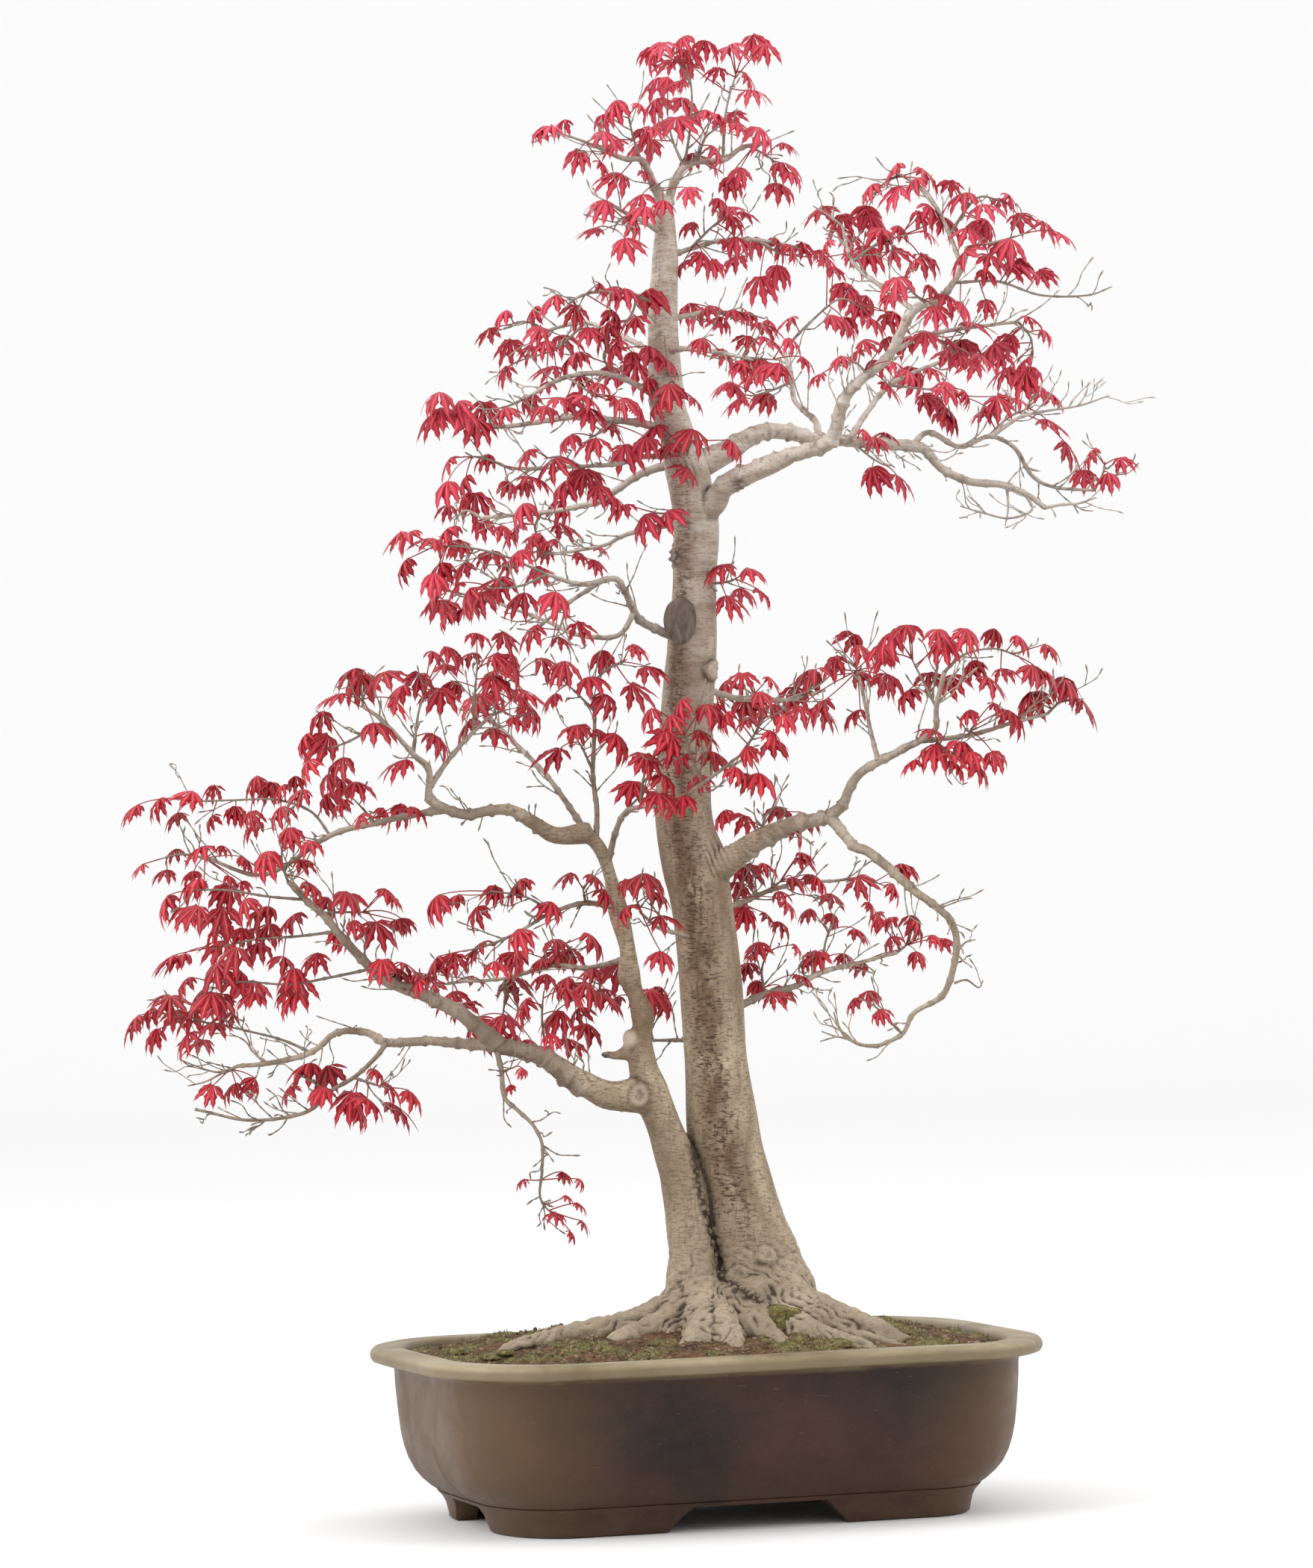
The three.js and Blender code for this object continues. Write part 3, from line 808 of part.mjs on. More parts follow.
// How far along its stem a leaf hangs from: the nearest spot in the front view that is free.
function reachOf(points, spot, sight, taken) {
  const length = lengthOf(points);
  let best = null;
  let nearest = Infinity;
  for (let reach = Math.min(7, length / 2); reach <= length; reach += 1) {
    const offset = pointAt(points, reach).sub(spot);
    offset.addScaledVector(sight, -offset.dot(sight));
    const free = taken.every((other) => Math.abs(other - reach) >= leafPitch);
    if (free && offset.length() < nearest) {
      nearest = offset.length();
      best = reach;
    }
  }
  return best;
}

// Hangs one leaf at its place in the front view, trying a few depths and turns for a clear one.
function clearLeaf([x, z], stemOf, taken) {
  const { points, node, solid: own } = stemOf;
  const sight = new THREE.Vector3(0, 1, 0).applyAxisAngle(new THREE.Vector3(0, 0, 1), -potTurn);
  const reach = reachOf(points, place([x, z, 0]), sight, taken);
  if (reach === null) return null;
  const foot = pointAt(points, reach);
  const footDepth = foot.dot(sight);
  for (let attempt = 0; attempt < 12; attempt += 1) {
    const hub = place([x, z, footDepth + (draw() - 0.5) * 2 * depthScatter]);
    const stalk = hub.clone().sub(foot);
    if (stalk.length() < shortestStalk) hub.copy(foot).addScaledVector(stalk.normalize(), shortestStalk);
    const form = leafForm(foot, hub, (draw() - 0.5) * 40, 0.35 + draw() * 0.4);
    const steep = Math.abs(form.outward.dot(alongAt(points, reach)));
    const whole = leafSolid(form, false);
    const clear = steep < 0.8 && leafSolid(form, true).minGap(own, 1) > airGap
      && isClear(whole, node, 'leaf');
    if (clear) return { reach, form, solid: whole };
  }
  return null;
}

// Soil: fills the pot, mounded up to the roots, with a plain hole for each of them.
function makeSoil(woodWithAir) {
  const lowest = floorTop + 2 * airGap + screenThickness + 0.1;
  const sides = [[39.2, lowest], [29.8, 44.5], [25.6, 96], [23.8, soilEdge]];
  const rings = sides.map(([inset, z]) => potOutline(inset, z));
  const edge = rings[rings.length - 1];
  [0.12, 0.32, 0.54, 0.77].forEach((share) => {
    rings.push(edge.map((p) => {
      const x = p.x + (moundMiddle[0] - p.x) * share;
      const y = p.y + (moundMiddle[1] - p.y) * share;
      const rise = moundHeight * (1 - (1 - share) ** 2);
      const lumps = 1.3 * Math.sin(x * 0.11 + 1) * Math.cos(y * 0.13) + 0.8 * Math.sin(x * 0.27 - y * 0.2);
      return new THREE.Vector3(x, y, soilEdge + rise + lumps);
    }));
  });
  return largest(toSolid(loft(rings)).subtract(woodWithAir));
}

function largest(solid) {
  return solid.decompose().sort((a, b) => b.volume() - a.volume())[0];
}

const wood = makeWood();
const woodWithAir = makeWood(airGap);
const putty = largest(makePutty().subtract(woodWithAir));
keep(wood, 'trunk_and_branches', 'wood');
keep(putty, 'wound_putty', 'wood');

const fineLimb = (name) => limbOf(name, branches[name][0] < stoutBranch ? 3 : 5, 0);
const isWood = (name) => stout[name] || boughs.includes(name);
function carrierOf(name) {
  const parent = parentOf(place(branches[name][2][0]), name).name;
  return isWood(parent) ? name : carrierOf(parent);
}

// Each fine branch starts a node of its own. A spray joins its branch's node, or starts one
// where it springs from a trunk or a bough.
const leafyNodes = {};
function grow(node, solid) {
  leafyNodes[node] = leafyNodes[node] || [];
  leafyNodes[node].push(solid);
}
const fineBranches = Object.keys(branches).filter((name) => !boughs.includes(name));
fineBranches.forEach((name) => keep(fineLimb(name), `leaves_${carrierOf(name)}`, 'stem'));

const stems = [];
const led = new Set();
Object.entries(sprays).forEach(([name, [route, hubs]]) => {
  const parent = parentOf(place(route[0]));
  const node = `leaves_${isWood(parent.name) ? name : carrierOf(parent.name)}`;
  const found = clearStem(route, parent.nearest, node);
  if (!found) return;
  keep(found.solid, node, 'stem');
  stems.push({ node, hubs, parent: parent.name, ...found });
});
let leafCount = 0;
stems.forEach((stemOf) => {
  const leaves = [];
  stemOf.hubs.forEach((hub) => {
    leafCount += leafShare;
    if (leafCount < 1) return;
    leafCount -= 1;
    const leaf = clearLeaf(hub, stemOf, leaves.map((other) => other.reach));
    if (!leaf) return;
    keep(leaf.solid, stemOf.node, 'leaf');
    leaves.push(leaf);
  });
  if (!leaves.length) return;
  const name = stemOf.parent;
  const atEnd = fineBranches.includes(name) && !led.has(name) && branches[name][0] < stoutBranch
    && stemOf.points[0].distanceTo(place(branches[name][2].at(-1))) < 1;
  if (atEnd) led.add(name);
  grow(stemOf.node, spraySolid(stemOf.points, leaves, atEnd ? leadOf(name) : []));
});
fineBranches.filter((name) => !led.has(name))
  .forEach((name) => grow(`leaves_${carrierOf(name)}`, fineLimb(name)));

const bonsai = new THREE.Group();
const pot = makePot();
bonsai.add(mesh('pot', toGeometry(pot), colours.stoneware, 0.8));
bonsai.add(mesh('drain_screen_left', toGeometry(makeScreen(-1)), colours.screen, 0.6));
bonsai.add(mesh('drain_screen_right', toGeometry(makeScreen(1)), colours.screen, 0.6));
bonsai.add(mesh('soil', toGeometry(makeSoil(woodWithAir)), colours.soil, 0.95));
bonsai.add(mesh('trunk_and_branches', toGeometry(wood), colours.bark, 0.85));
bonsai.add(mesh('wound_putty', toGeometry(putty), colours.putty, 0.8));
Object.entries(leafyNodes).forEach(([node, solids]) => {
  const whole = largest(wasm.Manifold.union(solids).subtract(woodWithAir).simplify(0.1));
  bonsai.add(mesh(node, toGeometry(whole), colours.leaf, 0.6));
});

const box = new THREE.Box3().setFromObject(bonsai);
const middle = box.getCenter(new THREE.Vector3());
bonsai.position.set(-middle.x, -middle.y, -box.min.z);
export default bonsai;
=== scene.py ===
# A deshojo Japanese maple bonsai: twin trunks in red spring leaf, in a brown stoneware pot.
# Metres, +Z up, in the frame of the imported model. The pot's length runs along X.
import math
import bmesh
import bpy
import numpy as np
from mathutils import Euler, Matrix, Vector, noise


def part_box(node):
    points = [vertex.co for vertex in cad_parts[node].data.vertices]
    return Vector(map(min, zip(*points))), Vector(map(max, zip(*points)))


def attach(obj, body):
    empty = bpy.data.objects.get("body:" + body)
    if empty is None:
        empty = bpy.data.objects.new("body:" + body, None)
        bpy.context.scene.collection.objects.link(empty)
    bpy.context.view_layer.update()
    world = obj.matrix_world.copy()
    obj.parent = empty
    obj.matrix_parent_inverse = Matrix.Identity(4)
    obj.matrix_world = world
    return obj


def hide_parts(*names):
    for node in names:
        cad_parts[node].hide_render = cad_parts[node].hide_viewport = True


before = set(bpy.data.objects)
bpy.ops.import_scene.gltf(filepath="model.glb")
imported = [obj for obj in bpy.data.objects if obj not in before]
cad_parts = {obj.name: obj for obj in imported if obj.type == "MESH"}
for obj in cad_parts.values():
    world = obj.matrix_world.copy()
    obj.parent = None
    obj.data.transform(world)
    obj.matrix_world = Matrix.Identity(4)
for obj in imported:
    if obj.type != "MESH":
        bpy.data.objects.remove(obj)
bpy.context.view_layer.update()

MM = 0.001

# Camera, floor and light
# The tree is seen square to its own front, with the pot turned 17.5 degrees to it, from
# 4.1 m away and a little below the height of the middle of the trunk. The picture leans by
# 0.026 radians.
pot_low, pot_high = (Vector(corner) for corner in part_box("pot"))
pot_middle = Vector(((pot_low.x + pot_high.x) / 2, (pot_low.y + pot_high.y) / 2, 0))
front_turn = math.radians(17.5)
view_distance = 4.1
picture_lean = 0.026
eye_height, middle_height = 0.421, 0.488
sensor_width, focal_pixels, picture_pixels = 36, 8200, 2100
eye_offset = Vector((-0.022, -view_distance, eye_height))
eye = Matrix.Rotation(-front_turn, 3, "Z") @ eye_offset + pot_middle
camera_data = bpy.data.cameras.new("camera")
camera_data.sensor_width = sensor_width
camera_data.lens = sensor_width * focal_pixels / picture_pixels
camera_data.clip_end = 40
camera = bpy.data.objects.new("camera", camera_data)
camera.matrix_world = (
    Matrix.Translation(eye)
    @ Matrix.Rotation(-front_turn, 4, "Z")
    @ Matrix.Rotation(math.radians(90) + math.atan2(middle_height - eye_height, view_distance), 4, "X")
    @ Matrix.Rotation(-picture_lean, 4, "Z")
)
bpy.context.collection.objects.link(camera)
bpy.context.scene.camera = camera


def new_material(name):
    """An empty material, with its tree and its surface shader."""
    material = bpy.data.materials.new(name)
    material.use_nodes = True
    material.node_tree.nodes.clear()
    surface = material.node_tree.nodes.new("ShaderNodeBsdfPrincipled")
    output = material.node_tree.nodes.new("ShaderNodeOutputMaterial")
    material.node_tree.links.new(surface.outputs[0], output.inputs["Surface"])
    return material, material.node_tree, surface


def mesh_piece(name, points, faces, smooth=True):
    """A piece made of points in metres and faces."""
    mesh = bpy.data.meshes.new(name)
    mesh.from_pydata([tuple(p) for p in points], [], [tuple(f) for f in faces])
    mesh.update()
    if smooth:
        mesh.shade_smooth()
    piece = bpy.data.objects.new(name, mesh)
    bpy.context.collection.objects.link(piece)
    return piece


floor_width, floor_front, floor_depth, wall_height = 16, -8, 7, 8
sweep_radius, sweep_steps = 1.6, 12
floor_sweep = [(floor_front, 0)]
for step in range(sweep_steps + 1):
    angle = math.radians(90 * step / sweep_steps)
    run, rise = math.sin(angle) * sweep_radius, (1 - math.cos(angle)) * sweep_radius
    floor_sweep.append((floor_depth + run, rise))
floor_sweep.append((floor_depth + sweep_radius, wall_height))
floor_points = [(side * floor_width, depth, up) for depth, up in floor_sweep for side in (-1, 1)]
floor_faces = [(2 * k, 2 * k + 1, 2 * k + 3, 2 * k + 2) for k in range(len(floor_sweep) - 1)]
floor = mesh_piece("floor", floor_points, floor_faces)
floor.rotation_euler = Euler((0, 0, -front_turn))
floor.location = (0, 0, -0.0002)
paper, _, paper_surface = new_material("pale_floor")
paper_surface.inputs["Base Color"].default_value = (0.96, 0.96, 0.96, 1)
paper_surface.inputs["Roughness"].default_value = 0.9
floor.data.materials.append(paper)


light_aim = Vector((0, 0, 0.45))


def soft_light(name, place, size, power):
    """A broad lamp that faces the tree, placed square to the tree's front."""
    data = bpy.data.lights.new(name, "AREA")
    data.shape = "RECTANGLE"
    data.size, data.size_y = size
    data.energy = power
    light = bpy.data.objects.new(name, data)
    spot = Matrix.Rotation(-front_turn, 3, "Z") @ Vector(place)
    light.location = spot
    light.rotation_euler = (light_aim - spot).to_track_quat("-Z", "Y").to_euler()
    bpy.context.collection.objects.link(light)


soft_light("key_left", (-2.6, -1.5, 2.0), (1.8, 2.2), 48)
soft_light("fill_right", (3.0, -0.9, 1.6), (1.6, 2.0), 22)
soft_light("top", (0.0, 0.2, 3.2), (2.6, 2.0), 20)
world = bpy.data.worlds.new("studio")
world.use_nodes = True
sky = world.node_tree.nodes["Background"].inputs
sky["Color"].default_value = (1, 1, 1, 1)
sky["Strength"].default_value = 0.97
bpy.context.scene.world = world
bpy.context.scene.view_settings.view_transform = "Standard"

# Pot
# An unglazed stoneware pot, pressed in a mould and finished by hand: near-upright walls with
# round corners under a broad flat lip, and four corner feet with sloping ends. Reddish brown
# clay, dark in the middle of the walls and made paler towards the ends by painted light, with an
# olive tan lip where hands and water wore it.
# Sizes in millimetres. The wall's profile is rows of inset and height, from the base over the lip.
rim_length, rim_width = 424, 312
corner_along_length, corner_along_width, corner_shrink, least_corner = 80, 100, 0.8, 8
foot_height, foot_inset, foot_width = 16, 46, 17
floor_top = 26
drain_radius, drain_spacing, drain_steps = 14, 190, 40
wall_profile = [
    (49, 16), (43, 18.4), (37, 22.5), (31.5, 27.5), (27, 33), (23.2, 40.5), (20.5, 49), (18.6, 59),
    (17.4, 70), (16.5, 80), (15.8, 90), (15.6, 98), (15.2, 101.6), (13.4, 103.8), (9, 104.7),
    (4.5, 105.1), (1.6, 106.2), (0.3, 108.2), (0.1, 110.6), (0.9, 113.2), (2.8, 115), (5.5, 115.5),
    (12, 115.2), (18.5, 115.3), (21, 114.9), (22.4, 113.4), (23, 111), (24.2, 104), (25, 96),
    (27, 70), (29, 44), (32, 33), (38, 26),
]


def pot_outline(inset, corner_steps, length_steps, width_steps):
    """The pot's outline from above, at an inset from the rim: four corners and four straights."""
    half_length, half_width = rim_length / 2 - inset, rim_width / 2 - inset
    rx = max(corner_along_length - corner_shrink * inset, least_corner)
    ry = max(corner_along_width - corner_shrink * inset, least_corner)
    ring = []
    for quarter, (sx, sy) in enumerate(((1, 1), (-1, 1), (-1, -1), (1, -1))):
        for step in range(corner_steps + 1):
            angle = math.radians(90 * quarter + 90 * step / corner_steps)
            ring.append((sx * (half_length - rx) + rx * math.cos(angle),
                         sy * (half_width - ry) + ry * math.sin(angle)))
        x0, y0 = ring[-1]
        if quarter % 2 == 0:
            run = -sx * (half_length - rx) - x0
            ring += [(x0 + run * k / length_steps, y0) for k in range(1, length_steps)]
        else:
            run = -sy * (half_width - ry) - y0
            ring += [(x0, y0 + run * k / width_steps) for k in range(1, width_steps)]
    return ring


def ring_skin(rings):
    """The skin over a row of rings, closed by a fan at each end: (points, faces)."""
    count = len(rings[0])
    points = [p for ring in rings for p in ring]
    faces = []
    for r in range(len(rings) - 1):
        for i in range(count):
            a, b = r * count + i, r * count + (i + 1) % count
            faces.append((a, b, b + count, a + count))
    for first, flip in ((0, True), ((len(rings) - 1) * count, False)):
        hub = len(points)
        points.append([sum(p[k] for p in points[first:first + count]) / count for k in range(3)])
        for i in range(count):
            a, b = first + i, first + (i + 1) % count
            faces.append((hub, b, a) if flip else (hub, a, b))
    return points, faces


def on_pot(point):
    """Where a point is in the part, given in millimetres from the ground under the pot's middle."""
    return pot_middle + Vector(point) * MM


def pot_ring(inset, up, corner_steps=14, length_steps=16, width_steps=10):
    """The outline at one height of the pot; the lip bows a little, as it does in the kiln."""
    ring = []
    for x, y in pot_outline(inset, corner_steps, length_steps, width_steps):
        bow = 0.6 * math.sin(x * 0.021 + y * 0.013 + up * 0.02) if inset < 60 else 0
        ring.append(on_pot((x, y, up + (0.35 * bow if up > 100 else 0))))
    return ring


def cut(piece, cutter, operation="DIFFERENCE"):
    """Cuts the cutter out of a piece, or joins it on, and takes the cutter away."""
    boolean = piece.modifiers.new("cut", "BOOLEAN")
    boolean.object, boolean.operation, boolean.solver = cutter, operation, "EXACT"
    apply_modifiers(piece)
    bpy.data.objects.remove(cutter)


def apply_modifiers(piece):
    """Gives the piece the mesh that its modifiers make."""
    view = bpy.context.evaluated_depsgraph_get()
    made = bpy.data.meshes.new_from_object(piece.evaluated_get(view))
    piece.modifiers.clear()
    piece.data = made


def wedge_bar(low, high, reach, along_length):
    """A cutter for the gap between two feet, wide at the ground and narrow under the pot."""
    half = reach / 2
    outline = [(-low / 2 - 1, -1), (low / 2 + 1, -1), (low / 2 - 5, 6), (high / 2, foot_height + 0.2),
               (-high / 2, foot_height + 0.2), (5 - low / 2, 6)]
    points = []
    for end in (-half, half):
        points += [on_pot((s, end, up) if along_length else (end, s, up)) for s, up in outline]
    faces = [(0, 1, 2, 3, 4, 5), (11, 10, 9, 8, 7, 6)]
    faces += [(k, k + 6, (k + 1) % 6 + 6, (k + 1) % 6) for k in range(6)]
    bar = mesh_piece("bar", points, faces, smooth=False)
    fix = bmesh.new()
    fix.from_mesh(bar.data)
    bmesh.ops.recalc_face_normals(fix, faces=fix.faces)
    fix.to_mesh(bar.data)
    fix.free()
    return bar


pot = mesh_piece("pot_body", *ring_skin([pot_ring(inset, up) for inset, up in wall_profile]))
for side in (-1, 1):
    turns = [2 * math.pi * k / drain_steps for k in range(drain_steps)]
    circle = [(side * drain_spacing / 2 + drain_radius * math.cos(turn), drain_radius * math.sin(turn))
              for turn in turns]
    hole = mesh_piece("hole", *ring_skin([[on_pot((x, y, up)) for x, y in circle] for up in (5, 35)]))
    cut(pot, hole)
foot_rows = [(foot_inset + inset, up) for inset, up in
             ((4.5, 0), (2.6, 1.2), (2, 5), (0.6, 11), (-1.5, 15), (-5, foot_height + 3))]
feet = mesh_piece("feet", *ring_skin([pot_ring(i, up, 10, 12, 8) for i, up in foot_rows]))
inner = foot_inset + foot_width
cut(feet, mesh_piece("inner", *ring_skin([pot_ring(inner, up, 10, 12, 8) for up in (-1, 30)])))
cut(feet, wedge_bar(124, 92, rim_width, True))
cut(feet, wedge_bar(86, 60, rim_length, False))
cut(pot, feet, "UNION")
edges_soft = pot.modifiers.new("edges", "BEVEL")
edges_soft.width, edges_soft.segments, edges_soft.limit_method = 0.0011, 2, "ANGLE"
edges_soft.angle_limit = math.radians(42)
apply_modifiers(pot)
pot.data.shade_smooth()


def fill(tree, node, **inputs):
    """Links or sets a node's inputs, named with _ for a space, or i0 and i1 for the first two."""
    for key, value in inputs.items():
        socket = node.inputs[{"i0": 0, "i1": 1}.get(key, key.replace("_", " "))]
        if isinstance(value, bpy.types.NodeSocket):
            tree.links.new(value, socket)
        else:
            socket.default_value = value
    return node


def put(tree, kind, settings=None, **inputs):
    """A new node in the tree, with its settings and inputs."""
    made = tree.nodes.new(kind)
    for key, value in (settings or {}).items():
        setattr(made, key, value)
    return fill(tree, made, **inputs)


def coords(tree, stretch=(1, 1, 1)):
    """Where a material is on its piece, for a pattern to follow."""
    place = put(tree, "ShaderNodeTexCoord")
    return put(tree, "ShaderNodeMapping", Vector=place.outputs["Object"], Scale=stretch).outputs[0]


def clouds(tree, where, scale, detail=4.0, roughness=0.55, distortion=0.0):
    """A cloudy pattern of values round a half."""
    return put(tree, "ShaderNodeTexNoise", Vector=where, Scale=scale, Detail=detail,
               Roughness=roughness, Distortion=distortion).outputs["Fac"]


def span(tree, value, low, high, to_low=0.0, to_high=1.0):
    """A value that goes from one end to the other while the first goes from low to high."""
    return put(tree, "ShaderNodeMapRange", {"clamp": True}, Value=value, From_Min=low, From_Max=high,
               To_Min=to_low, To_Max=to_high).outputs[0]


def sums(tree, operation, first, second=0.5):
    """One step of arithmetic on two values."""
    return put(tree, "ShaderNodeMath", {"operation": operation}, i0=first, i1=second).outputs[0]


def blend_tones(tree, share, first, second):
    """A colour between two, by the second one's share."""
    made = put(tree, "ShaderNodeMix", {"data_type": "RGBA"}, i0=share)
    for socket, value in ((made.inputs[6], first), (made.inputs[7], second)):
        if isinstance(value, bpy.types.NodeSocket):
            tree.links.new(value, socket)
        else:
            socket.default_value = (*value, 1)
    return made.outputs[2]


def relief(tree, height, distance, strength=1.0, under=None):
    """Bumps as high as the distance in metres, over another relief if there is one."""
    made = put(tree, "ShaderNodeBump", Height=height, Distance=distance, Strength=strength)
    if under is not None:
        tree.links.new(under, made.inputs["Normal"])
    return made.outputs[0]


def tone(*screen_values):
    """Linear values of a colour given as it looks on a screen, 0 to 255."""
    shares = [value / 255 for value in screen_values]
    return tuple(((s + 0.055) / 1.055) ** 2.4 if s > 10 / 255 else s / 12.92 for s in shares)


def times(tree, first, second):
    """The product of two values."""
    return sums(tree, "MULTIPLY", first, second)


def coated(tree, colour, coats):
    """The colour under coats of others, each given as its share and how it looks on a screen."""
    for share, coat in coats:
        colour = blend_tones(tree, share, colour, tone(*coat))
    return colour


def axis_of(tree, vector, axis):
    """A vector's X, Y or Z, as 0, 1 or 2."""
    return put(tree, "ShaderNodeSeparateXYZ", Vector=vector).outputs[axis]


def upward(tree):
    """How far the surface faces up, from -1 to 1."""
    return axis_of(tree, put(tree, "ShaderNodeNewGeometry").outputs["Normal"], 2)


# Fine clay grain: pits and grog specks, shared by the clay pot and the dried putty.
clay_grain = bpy.data.node_groups.new("clay_grain", "ShaderNodeTree")
clay_grain.interface.new_socket("Position", in_out="INPUT", socket_type="NodeSocketVector")
clay_grain.interface.new_socket("Speck Scale", in_out="INPUT", socket_type="NodeSocketFloat")
clay_grain.interface.new_socket("Height", in_out="OUTPUT", socket_type="NodeSocketFloat")
clay_grain.interface.new_socket("Specks", in_out="OUTPUT", socket_type="NodeSocketFloat")
grain_in = clay_grain.nodes.new("NodeGroupInput")
grain_out = clay_grain.nodes.new("NodeGroupOutput")
fine = clouds(clay_grain, grain_in.outputs[0], grain_in.outputs[1], 5.0, 0.65)
pits = put(clay_grain, "ShaderNodeTexVoronoi", Vector=grain_in.outputs[0],
           Scale=times(clay_grain, grain_in.outputs[1], 0.35)).outputs["Distance"]
clay_grain.links.new(times(clay_grain, fine, span(clay_grain, pits, 0.0, 0.16)), grain_out.inputs[0])
clay_grain.links.new(span(clay_grain, fine, 0.6, 0.74), grain_out.inputs[1])

stoneware, tree, surface = new_material("brown_stoneware")
where = coords(tree)
height = axis_of(tree, where, 2)
grain = put(tree, "ShaderNodeGroup", {"node_tree": clay_grain}, Position=where, Speck_Scale=620.0)
drift = clouds(tree, coords(tree, (1, 1, 2.2)), 9.0, 5, 0.6, 0.6)
blotch = clouds(tree, where, 34.0, 4, 0.6, 0.8)
ruddy = clouds(tree, coords(tree, (0.8, 0.8, 1.4)), 10.0, 3, 0.5, 0.4)
scuffs = clouds(tree, coords(tree, (1, 1, 6)), 60.0, 3, 0.5, 1.5)
# How far along the length from the middle: the mask for painted light that makes both ends of the pot
# paler.
from_middle = sums(tree, "ABSOLUTE", sums(tree, "SUBTRACT", axis_of(tree, where, 0), pot_middle.x))
low_share = times(tree, span(tree, height, 0.045, 0.012), span(tree, blotch, 0.3, 0.7, 0.15, 0.75))
clay = blend_tones(tree, span(tree, drift, 0.36, 0.64), tone(20, 10, 7), tone(50, 29, 19))
clay = coated(tree, clay, [(span(tree, blotch, 0.5, 0.74, 0, 0.55), (18, 11, 9)),
                           (span(tree, ruddy, 0.44, 0.7, 0, 0.5), (76, 42, 32)),
                           (span(tree, from_middle, 0.09, 0.2, 0, 0.62), (112, 86, 58))])
lip_edge = sums(tree, "ADD", height, times(tree, sums(tree, "SUBTRACT", blotch, 0.5), 0.005))
lip_share = span(tree, lip_edge, 0.1015, 0.1065, 0, 0.95)
lip = blend_tones(tree, span(tree, drift, 0.35, 0.65), tone(122, 108, 81), tone(174, 160, 129))
# Painted shade: the lip darkens on its faces that turn away from the top.
lip = blend_tones(tree, span(tree, upward(tree), 0.6, 0.1, 0, 0.7), lip, tone(108, 92, 68))
clay = blend_tones(tree, lip_share, clay, lip)
clay = coated(tree, clay, [(low_share, (84, 60, 44)),
                           (times(tree, grain.outputs["Specks"], 0.2), (128, 108, 84)),
                           (span(tree, scuffs, 0.69, 0.76, 0, 0.3), (120, 98, 76))])
waves = relief(tree, clouds(tree, coords(tree, (1, 1, 3)), 22.0, 2), 0.0016, 0.5)
fill(tree, surface, Base_Color=clay, Roughness=span(tree, blotch, 0.3, 0.7, 0.38, 0.56),
     Specular_IOR_Level=0.3, Normal=relief(tree, grain.outputs["Height"], 0.0004, 0.55, waves))
pot.data.materials.append(stoneware)
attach(pot, "root")
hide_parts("pot")

# Drain screens
# Two squares of black plastic mesh, laid over the drain holes inside the pot so that the soil
# stays in. Moulded in one, from crossing strands, and held down by the soil.
screen_side, strand_pitch, strand_width, strand_height = 45.6, 3.8, 1.0, 0.5
screen_gap, strand_overlap = 0.42, 0.8
square_corners = ((-1, -1), (1, -1), (1, 1), (-1, 1))
screen_plastic, tree, surface = new_material("screen_plastic")
where = coords(tree)
dust = clouds(tree, where, 180.0, 4)
black = blend_tones(tree, span(tree, dust, 0.45, 0.7, 0, 0.5), tone(30, 31, 32), tone(92, 80, 64))
fill(tree, surface, Base_Color=black, Roughness=0.6, Normal=relief(tree, dust, 0.0002, 0.4))


def join_skins(skins):
    """Several lots of points and faces as one."""
    points, faces = [], []
    for more_points, more_faces in skins:
        start = len(points)
        points += [tuple(p) for p in more_points]
        faces += [tuple(start + i for i in face) for face in more_faces]
    return points, faces


box_faces = [(0, 3, 2, 1), (4, 5, 6, 7), (0, 1, 5, 4), (1, 2, 6, 5), (2, 3, 7, 6), (3, 0, 4, 7)]
for name, side in (("drain_screen_left", -1), ("drain_screen_right", 1)):
    strands = []
    count = int(screen_side / strand_pitch)
    for k in range(count + 1):
        offset = (k - count / 2) * (screen_side - strand_width) / count
        for lengthways in (True, False):
            along, across = screen_side / 2, strand_width / 2
            half_x, half_y = (along, across) if lengthways else (across, along)
            x, y = (0, offset) if lengthways else (offset, 0)
            low = floor_top + screen_gap + (0 if lengthways else strand_height * strand_overlap)
            corners = [(x + sx * half_x + side * drain_spacing / 2, y + sy * half_y, up)
                       for up in (low, low + strand_height) for sx, sy in square_corners]
            strands.append(([on_pot(corner) for corner in corners], box_faces))
    screen = mesh_piece("mesh_" + name, *join_skins(strands), smooth=False)
    screen.data.materials.append(screen_plastic)
    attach(screen, "root")
    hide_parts(name)

# Trunks, roots and boughs
# The maple's own wood: a main trunk and a second one grown together at the foot, the roots that
# grip the soil, and the thick boughs. Grown, pruned and wired over decades; grey tan bark with
# fine cracks. Rows are right, up, away and radius, in millimetres, seen from the tree's front.
trunk_rows = [
    (30, 84, 0, 40), (30, 116, 0, 52), (32, 130, 0, 44), (39, 148, 0, 36), (38, 168, 0, 27.5),
    (31, 189, 0, 26), (23.5, 217, 0, 25), (15.5, 250, 0, 24.5), (8, 307, 0, 21), (4, 364, 0, 21),
    (-1, 410, 0, 20.5), (-5, 428, 0, 20.5), (-12, 465, 0, 19), (-11, 510, 0, 18), (-9, 548, 0, 17),
    (-7, 576, 0, 16.5), (-5, 624, 0, 14.5), (-4, 660, 0, 15), (-10, 694, 0, 14.5),
    (-18, 725, 0, 11.5), (-23, 742, 0, 12), (-26, 798, 0, 10), (-25, 832, 0, 9), (-25, 863, 0, 6.5),
    (-26, 880, 0, 5),
]
